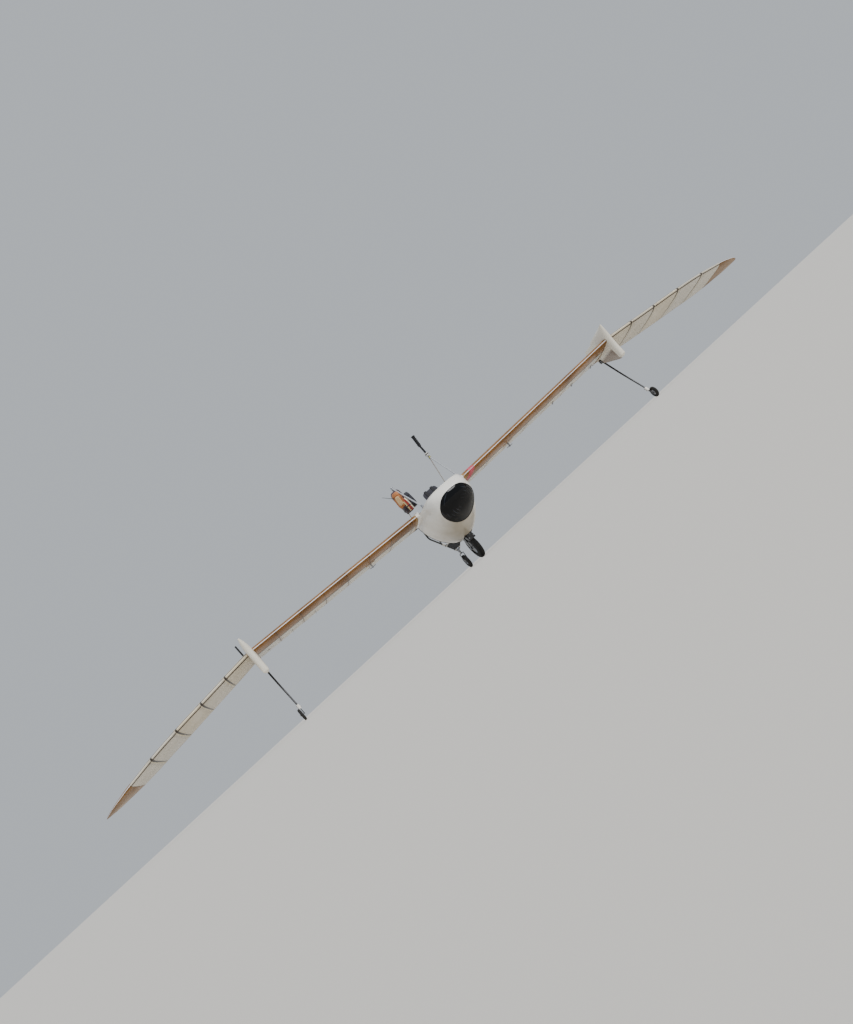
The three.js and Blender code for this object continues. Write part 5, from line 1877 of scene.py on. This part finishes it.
@dataclass
class TailGear:
    """The tail wheel with its fork, swivel head, two bent tubes, braces and panel."""

    top: Point = (0.45, 0.498, 1.262)
    bend: Point = (0.45, 0.615, 0.97)
    foot: Point = (0.026, 1.25, 0.452)
    brace_top: Point = (0.4, 0.49, 1.262)
    pivot: Point = (0.0, 1.272, 0.395)
    axle: Point = (0.0, 1.35, 0.15425)
    tube_radius: float = 17 * MM
    bend_length: float = 0.07
    # Shares of a tube's straight rear stretch, from the bend to the foot
    socket: Row = (0.945, 1.006)
    fitting: Row = (0.445, 0.545)
    brace: float = 0.5
    clamps: Row = (0.6, 0.93)
    bar: float = 0.575
    rivets: Row = (0.63, 0.88)

    def build(self) -> None:
        """Makes and dresses the tail."""
        for side in Side:
            self.side_tubes(side)
        self.panel()
        self.head()
        dress(cleaned_copy("tail_fork", "fork_finished", 1.5 * MM), ENAMEL, "tail_fork", ["tail_fork"])
        dress(bolt("tail_axle_nuts", self.axle, Axis.X, 58 * MM, 15 * MM), BRIGHT_STEEL, "tail_fork")
        x, y, z = self.pivot
        profile = [(0, 0), (0.012, 0.001), (0.016, 0.005), (0.0175, 0.012),
                   (0.015, 0.019), (0.008, 0.024), (0, 0.025)]
        knob = turned("fork_knob", profile, (x, y, z - 0.02), (-0.9, -0.4, 0.0), 28)
        dress(knob, WHITE_METAL, "tail_fork")
        nodes = ("tail_tyre", "tail_hub")
        Wheel("tail", "tail_wheel", nodes, self.axle, 0.07, 0.072, 8.3 * MM, blocks=18, tread=4 * MM).build()

    def on_tube(self, side: Side, share: float) -> Array:
        """A point of the straight rear stretch of a tube."""
        bend, foot = mirrored_x([self.bend, self.foot], side)
        return bend * (1 - share) + foot * share

    def side_tubes(self, side: Side) -> None:
        """Sweeps one bent tube, its brace, and the clamps where they meet.

        The bend is a quadratic curve between two points at the same distance from the corner.
        """
        word = side.word
        top, bend, foot = mirrored_x([self.top, self.bend, self.foot], side)
        before = bend + unit(top - bend) * self.bend_length
        after = bend + unit(foot - bend) * self.bend_length
        t = np.linspace(0, 1, 14)[:, None]
        corner = before * (1 - t) ** 2 + 2 * bend * t * (1 - t) + after * t**2
        end = foot + unit(bend - foot) * 9 * MM
        swept = tube(f"tail_tube_{word}_dressed", np.vstack([top, corner, end]), self.tube_radius, 24)
        dress(swept, ENAMEL, instead_of=[f"tail_tube_{word}"])
        sleeve = straight(*(self.on_tube(side, share) for share in self.socket), 3)
        dress(tube(f"tail_socket_{word}", sleeve, self.tube_radius + 3.5 * MM, 24), STEEL)
        start = mirrored_x(self.brace_top, side)
        brace = straight(start, self.on_tube(side, self.brace))
        dress(tube(f"tail_brace_{word}", brace, 8 * MM, 14), ENAMEL)
        fitting = straight(*(self.on_tube(side, share) for share in self.fitting), 9)
        round_ends = 27 * MM - 5 * MM * np.abs(np.linspace(-1, 1, 9)) ** 3
        dress(tube(f"brace_fitting_{word}", fitting, round_ends, 28), WHITE_METAL)
        ring = collar(self.tube_radius, 0.023, 14 * MM, 1 * MM, 2 * MM)
        for number, share in enumerate(self.clamps):
            place = self.on_tube(side, share)
            dress(turned(f"tail_clamp_{number}_{word}", ring, place, foot - bend, 28), WHITE_METAL)
            dress(bolt(f"tail_clamp_bolt_{number}_{word}", place, Axis.X, 30 * MM, 8 * MM), STEEL)
        ring = collar(CROSS_TUBE_RADIUS, 0.027, 20 * MM, 1 * MM, 3 * MM)
        dress(turned(f"cross_clamp_{word}", ring, (top[0], *CROSS_TUBE_YZ), Axis.X, 28), ALLOY)

    def panel(self) -> None:
        """Dresses the panel between the tubes, its pale bar and its rivets."""
        dress(cleaned_copy("tail_panel", "tail_panel_dressed", 1 * MM), PANEL_GREY, instead_of=["tail_panel"])
        left, right = (self.on_tube(side, self.bar) for side in Side)
        dress(tube("panel_top_edge", straight(left, right, 3), 9 * MM, 16), ENAMEL)
        sleeve = [right + (left - right) * share for share in (0.1, 0.56)]
        dress(tube("panel_bar", straight(*sleeve, 3), 19 * MM, 24), WHITE_METAL)
        out = unit(np.cross((1, 0, 0), np.array(self.foot) - np.array(self.bend)))
        profile = [(0, -0.0065), (0.005, -0.005), (0.006, 0.004), (0, 0.0065)]
        parts = []
        for share in np.linspace(*self.rivets, 6):
            for side in Side:
                place = self.on_tube(side, share) - (side.value * 0.03, 0, 0)
                parts.append(turned("rivet", profile, place, out, 10))
        dress(joined("panel_rivets", parts), STEEL)

    def head(self) -> None:
        """Turns the swivel head with its caps and grease nipple."""
        profile = [(0, 0), (0.024, 0), (0.0275, 0.003), (0.0275, 0.012), (0.026, 0.014), (0.026, 0.066),
                   (0.0275, 0.068), (0.0275, 0.077), (0.024, 0.08), (0.012, 0.08), (0.012, 0.088), (0, 0.09)]
        dress(turned("swivel_head", profile, self.pivot, Axis.Z, 40), STEEL, instead_of=["tail_head"])


@dataclass
class Outrigger:
    """The springy rod under a fin, with its clamp, arm, axle and small wheel."""

    side: Side
    top: Point = (4.374, -0.33, 1.29)
    bend: Point = (4.372, -0.56, 0.8)
    foot: Point = (4.361, -0.873, 0.235)
    axle: Point = (4.405, -0.915, 0.11146)
    socket_low: float = 1.2217
    clamp_bolts: Row = (-0.012, 0.035)  # heights above the foot
    arm_lean: float = 0.33  # radians that the arm leans towards the nose
    arm_top: tuple[float, float] = (0.05, 0.236)  # how far behind the axle, and height
    arm_faces: Row = (-0.052, -0.036)

    def build(self) -> None:
        """Makes and dresses the outrigger."""
        word = self.side.word
        path = mirrored_x(flowing([self.top, self.bend, self.foot], 60), self.side)
        rod = tube(f"spring_rod_{word}", path, np.linspace(0.0185, 0.0145, 60), 20)
        trimmed(rod, (0, 0, self.socket_low), (0, 0, 1), close=True)
        dress(rod, ROD, instead_of=[f"outrigger_rod_{word}"])
        self.clamp()
        self.arm()
        centre = (self.axle[0] * self.side.value, *self.axle[1:])
        name, body = f"outrigger_{word}", f"outrigger_wheel_{word}"
        Wheel(name, body, (body,), centre, 0.05, 0.058, 8.3 * MM, blocks=14, tread=3 * MM).build()

    def clamp(self) -> None:
        """Lofts the white clamp round the rod's foot, with two bolts."""
        word = self.side.word
        x, y, z = self.foot
        rise = np.linspace(-0.03, 0.055, 14)[:, None]
        angle = circle(28)[None, :]
        grow = 0.024 + 0.003 * np.sqrt(np.clip(1 - ((rise - 0.012) / 0.044) ** 2, 0, 1))
        across = signed_power(np.cos(angle), 0.6) * grow
        along = y + 0.012 + 0.52 * rise + signed_power(np.sin(angle), 0.6) * grow * 1.25
        piece = lofted(f"rod_clamp_{word}", self.side, gathered(x + across, along, z + rise))
        soften(piece, 1 * MM)
        dress(piece, WHITE_METAL)
        for number, dz in enumerate(self.clamp_bolts):
            place = (x * self.side.value, y + 0.012 + 0.5 * dz, z + dz)
            dress(bolt(f"clamp_bolt_{number}_{word}", place, Axis.X, 34 * MM, 7 * MM), STEEL)

    def arm(self) -> None:
        """Makes the arm, a plate with round ends, the axle and its nut.

        The outline is a circle whose upper half is moved from the axle to the rod's foot.
        """
        word = self.side.word
        x, y, z = self.axle
        angle = circle(48)
        upper = np.sin(angle) > 0
        radius = np.where(upper, 0.018, 0.02)
        back, height = self.arm_top
        outline_y = np.where(upper, y + back, y) + radius * np.cos(angle + self.arm_lean)
        outline_z = np.where(upper, height, z) + radius * np.sin(angle + self.arm_lean)
        rows = [gathered(x + dx, outline_y, outline_z) for dx in self.arm_faces]
        plate = lofted(f"outrigger_arm_{word}", self.side, np.array(rows))
        soften(plate, 1.5 * MM)
        dress(plate, ENAMEL)
        ends = mirrored_x(straight((x - 0.05, y, z), (x + 0.026, y, z)), self.side)
        dress(tube(f"outrigger_axle_{word}", ends, 8 * MM, 20), STEEL)
        nut = collar(0, 0.0155, 5 * MM, 1.5 * MM, 2 * MM)
        place = ((x + 0.031) * self.side.value, y, z)
        dress(turned(f"outrigger_nut_{word}", nut, place, Axis.X, 6), STEEL)


# Structure above the pod


@dataclass
class SideFrame:
    """The aluminium tube and stay beside the seat, with foot, joint and stay end."""

    side: Side
    top: Point = (0.482, -0.085, 2.115)
    foot: Point = (0.44, -0.76, 1.395)
    stay_foot: Point = (0.482, 0.486, 1.284)

    def build(self) -> None:
        """Makes and dresses the frame on one side."""
        word = self.side.word
        top, foot, stay = mirrored_x([self.top, self.foot, self.stay_foot], self.side)
        low = foot + unit(foot - top) * 0.01
        lower = tube(f"side_tube_{word}", straight(low, top), 14 * MM, 24)
        dress(lower, ALLOY, instead_of=[f"side_frame_{word}"])
        end = stay + unit(top - stay) * 8 * MM
        dress(tube(f"side_stay_{word}", straight(end, top), 11 * MM, 20), ALLOY)
        self.joint(top, (foot, stay))
        self.fork(foot, unit(top - foot))
        ring = collar(CROSS_TUBE_RADIUS + 0.5 * MM, 0.028, 16 * MM, 1 * MM, 3 * MM)
        dress(turned(f"stay_clamp_{word}", ring, (stay[0], *CROSS_TUBE_YZ), Axis.X, 28), ALLOY)

    def joint(self, top: Array, feet: tuple[Array, Array]) -> None:
        """Turns the joint's round cheeks, its bolt and a collar on the tube and on the stay.

        Args:
            top: Where the tube and the stay meet.
            feet: The lower ends of the tube and of the stay.
        """
        word = self.side.word
        cheeks = collar(6 * MM, 0.026, 12 * MM, 2 * MM, 3 * MM)
        dress(turned(f"joint_cheeks_{word}", cheeks, top, Axis.X, 36), STEEL)
        dress(bolt(f"joint_bolt_{word}", top, Axis.X, 24 * MM, 10 * MM), STEEL)
        ring = collar(0, 0.02, 20 * MM, 1.5 * MM, 4 * MM)
        for number, foot in enumerate(feet):
            line = unit(foot - top)
            finish = BRASSY if self.side is Side.LEFT and number == 0 else HUB_ALLOY
            piece = turned(f"joint_collar_{number}_{word}", ring, top + line * 0.045, line, 28)
            dress(piece, finish)

    def fork(self, foot: Array, line: Array) -> None:
        """Turns the foot's sleeve and sets its flange on the rim with two bolts.

        Args:
            foot: The tube's lower end.
            line: The way the tube runs.
        """
        word = self.side.word
        sleeve = [(0.0, -0.002), (0.019, -0.002), (0.02, 0.002), (0.02, 0.05), (0.018, 0.055), (0.0, 0.055)]
        dress(turned(f"foot_sleeve_{word}", sleeve, foot, line, 28), STEEL)
        flange = [(0, -0.016), (0.034, -0.016), (0.036, -0.013), (0.036, -0.008), (0.03, -0.004), (0, -0.003)]
        dress(turned(f"foot_flange_{word}", flange, foot, Axis.Z, 36), STEEL)
        places = (foot + (0, dy, -0.005) for dy in (-0.025, 0.025))
        parts = [bolt("flange_bolt", place, Axis.Z, 8 * MM, 5 * MM) for place in places]
        dress(joined(f"flange_bolts_{word}", parts), STEEL)


@dataclass
class Mast:
    """The black mast on the left side frame: bracket, tube, ribbed sleeve and ribbed canister."""

    foot: Point = (0.485, -0.085, 2.141)
    middle: Point = (0.492, -0.085, 2.377)
    top: Point = (0.516, -0.085, 2.595)

    def build(self) -> None:
        """Makes and dresses the mast."""
        foot, middle, top = (np.array(p) for p in (self.foot, self.middle, self.top))
        along = np.linspace(0, 1, 90)
        radius = 0.0195 + 0.0018 * np.sign(np.sin(along * 2 * math.pi * 9))
        dress(tube("mast_sleeve", straight(foot, middle, 90), radius, 28), GRIP, instead_of=["canister_mast"])
        rings = np.clip(np.cos(along * 2 * math.pi * 5.5) * 2.5, -1, 1)
        ends = np.minimum(1, along * 14 + 0.72)
        radius = (0.0325 + 0.0022 * rings) * ends
        dress(tube("mast_canister", straight(middle, top, 90), radius, 32), GRIP)
        cap = [(0, -0.004), (0.034, -0.003), (0.039, 0.001), (0.04, 0.012), (0.036, 0.017), (0, 0.018)]
        dress(turned("canister_cap", cap, top, unit(top - middle), 36), GRIP)
        line = unit(middle - foot)
        ring = collar(0, 0.029, 12 * MM, 3 * MM, 4 * MM)
        dress(turned("canister_collar", ring, middle, line, 36), PANEL_GREY)
        self.bracket(foot, line)

    def bracket(self, foot: Array, line: Array) -> None:
        """Makes the pale bracket under the mast, its black strap and its bolt.

        Args:
            foot: The mast's lower end.
            line: The way the mast runs.
        """
        cup = [(0, -0.006), (0.034, -0.006), (0.037, -0.002), (0.034, 0.03), (0.029, 0.055), (0.0, 0.057)]
        dress(turned("mast_cup", cup, foot, line, 36), WHITE_METAL)
        hoop = [(0.031, 0.018), (0.0375, 0.018), (0.0385, 0.021), (0.0375, 0.036), (0.031, 0.037)]
        dress(turned("mast_strap", hoop, foot, line, 36), HEM)
        dress(bolt("mast_bolt", foot + line * 0.012, Axis.X, 46 * MM, 8 * MM), STEEL)


@dataclass
class SidePack:
    """The pack under the right side frame: bag, bundle, pouch, patch, straps, ribbons and whisker."""

    centre: Point = (-0.505, -0.108, 1.79)
    half: Point = (0.1, 0.255, 0.138)
    lean: float = 1.44  # radians that the pack's long side is turned up from level
    strap_places: Row = (-0.17, -0.225)
    ribbon: tuple[Point, ...] = (
        (0.0, -0.244, 1.8), (0.004, -0.27, 1.73), (0.01, -0.262, 1.66),
        (0.008, -0.256, 1.6), (0.014, -0.236, 1.538),
    )
    whisker: tuple[Point, ...] = (
        (-0.575, -0.2, 1.87), (-0.63, -0.24, 1.92), (-0.71, -0.28, 1.99), (-0.79, -0.32, 2.06)
    )

    def build(self) -> None:
        """Makes and dresses the pack."""
        along = np.array([0.0, math.cos(self.lean), math.sin(self.lean)])
        up = np.array([0.0, -math.sin(self.lean), math.cos(self.lean)])
        axes = ((1.0, 0.0, 0.0), along, up)
        centre = np.array(self.centre)
        bag = pillow("pack_bag", centre, axes, self.half, (-0.45, 0.3), 0.4)
        dress(bag, PLUM_CLOTH, instead_of=["side_pack"])
        behind = centre + (0.148, 0.02, -0.07)
        bundle = pillow("pack_bundle", behind, axes, (0.058, 0.17, 0.095), (-0.3, 0.35), 0.6)
        dress(bundle, SEAT_CLOTH)
        self.pouch(centre)
        self.straps(centre, along, up)
        self.ribbons()
        dress(tube("pack_whisker", flowing(self.whisker, 30), np.linspace(0.006, 0.0035, 30), 8), ROD)

    def pouch(self, centre: Array) -> None:
        """Sets the canvas pouch on the bag's outer front corner, with a paler patch on its face."""
        out = unit((-0.62, -0.78, 0.06))
        side = unit(np.cross(out, (0.12, 0.0, 1.0)))
        rise = np.cross(side, out)
        axes = (side, rise, out)
        place = centre + (-0.034, -0.072, 0.045)
        pouch = pillow("pack_pouch", place, axes, (0.088, 0.175, 0.078), (-0.35, 0.45), 0.55)
        dress(pouch, CANVAS)
        face = place + out * 0.062 - rise * 0.02 - side * 0.012
        patch = pillow("pack_patch", face, axes, (0.05, 0.1, 0.024), (), 0.5)
        dress(patch, SAND_CANVAS)

    def straps(self, centre: Array, along: Array, up: Array) -> None:
        """Runs two straps round the bag, along a squared ellipse a little larger than it.

        Args:
            centre: The bag's middle.
            along: The way its length runs.
            up: The way its thickness runs.
        """
        angle = circle(72)[:, None]
        for number, place in enumerate(self.strap_places):
            shrink = (1 - abs(place / self.half[1]) ** 4) ** 0.25
            across = signed_power(np.cos(angle), 0.5) * (self.half[0] * shrink + 4 * MM)
            rise = signed_power(np.sin(angle), 0.55) * (self.half[2] * shrink + 3 * MM)
            path = centre + along * place + across * (1, 0, 0) + rise * up
            dress(strap(f"pack_strap_{number}", path, along, 13 * MM, endless=True), STRAP_BLACK)

    def ribbons(self) -> None:
        """Runs three flat ribbons from the pouch down the bag's front, under its straps."""
        for word, x, half, finish in (
            ("sand", -0.535, 15 * MM, STRAP_SAND),
            ("red", -0.498, 20 * MM, STRAP_RED),
            ("pale", -0.464, 11 * MM, RIB_TAPE),
        ):
            path = flowing([(x + dx, y, z) for dx, y, z in self.ribbon], 36)
            dress(strap(f"pack_ribbon_{word}", path, (1.0, 0.12, 0.08), half, -1.8 * MM), finish)


@dataclass
class WingPost:
    """The short black post on the right outer wing: base flange, post and domed cap."""

    place: tuple[float, float] = (-4.5, -0.635)
    top: float = 1.735
    radius: float = 16 * MM

    def build(self) -> None:
        """Makes and dresses the post, from the wing's upper skin."""
        x, y = self.place
        skin_line = WING.point(-x, np.linspace(0.2, 0.8, 400), 1.0)
        low = float(np.interp(y, skin_line[:, 1], skin_line[:, 2]))
        high = self.top - low
        flange = [(0, -0.02), (0.04, -0.02), (0.04, 0.006), (0.034, 0.01), (0.02, 0.013)]
        mast = [(self.radius, 0.018), (self.radius, high - 0.006), (self.radius * 0.7, high), (0, high)]
        post = turned("wing_post_dressed", flange + mast, (x, y, low), Axis.Z, 32)
        dress(post, ROD, instead_of=["wing_post"])


# Studio


@dataclass
class Studio:
    """Plain pale floor, soft lights and a camera at floor level in the photograph's direction."""

    azimuth: float = 15.0  # degrees towards the aircraft's right, from straight ahead
    distance: float = 16.0
    eye: float = 0.04
    roll: float = 42.6
    aim: Point = (-0.267, 0.014, 1.348)
    lens: float = 29.7

    def build(self) -> None:
        """Makes the floor, the world, the lights and the camera."""
        self.floor()
        self.world()
        self.lights()
        self.camera()

    def floor(self) -> None:
        """Lays a floor that reaches the horizon."""
        reach = 400.0
        corners = np.array([[(x, y, 0.0) for x in (-reach, reach)] for y in (-reach, reach)])
        plane = lattice("studio_floor", corners)
        material = bpy.data.materials.new("matt pale studio floor")
        material.use_nodes = True
        shader = material.node_tree.nodes["Principled BSDF"]
        feed(shader, "Base Color", srgb("cbc7c0"))
        feed(shader, "Roughness", 0.9)
        plane.data.materials.append(material)

    def world(self) -> None:
        """Lights everything softly from a pale, slightly blue sky."""
        world = bpy.data.worlds.new("soft pale surround")
        world.use_nodes = True
        background = world.node_tree.nodes["Background"]
        feed(background, "Color", srgb("d7dde4"))
        feed(background, "Strength", 0.75)
        bpy.context.scene.world = world

    def lights(self) -> None:
        """Adds a broad key light from above, and two weaker fills that no glossy surface mirrors."""
        for name, place, spread, strength in (
            ("key", (5.0, -7.0, 11.0), 30.0, 2.6),
            ("low_front", (-3.0, -13.0, 1.4), 50.0, 0.7),
            ("rear_fill", (5.0, 11.0, 7.0), 40.0, 0.8),
        ):
            data = bpy.data.lights.new(name, "SUN")
            data.energy = strength
            data.angle = math.radians(spread)
            lamp = linked(name, data)
            lamp.visible_glossy = name == "key"
            lamp.matrix_world = facing(place, (0.0, 0.0, 0.0))

    def camera(self) -> None:
        """Sets the camera at floor level and rolls it, so that the wing lies across the frame."""
        turn = math.radians(self.azimuth)
        place = (-self.distance * math.sin(turn), -self.distance * math.cos(turn), self.eye)
        data = bpy.data.cameras.new("photo_view")
        data.lens = self.lens
        data.clip_start = 0.01
        data.clip_end = 1000.0
        camera = linked("photo_view", data)
        camera.matrix_world = facing(place, self.aim) @ Matrix.Rotation(-math.radians(self.roll), 4, "Z")
        bpy.context.scene.camera = camera


def facing(place: Point, aim: Point) -> Matrix:
    """The matrix of something at place whose -Z looks at aim, with its Y up."""
    look = (Vector(aim) - Vector(place)).to_track_quat("-Z", "Y")
    return Matrix.Translation(place) @ look.to_matrix().to_4x4()


def main() -> None:
    logging.basicConfig(level=logging.INFO, format="%(message)s")
    Studio().build()
    Pod().build()
    Cockpit().build()
    for side in Side:
        InnerPanel(side).build()
        OuterPanel(side).build()
        Fin(side).build()
        Outrigger(side).build()
        SideFrame(side).build()
    MainGear().build()
    TailGear().build()
    Mast().build()
    SidePack().build()
    WingPost().build()


if __name__ == "__main__":
    main()
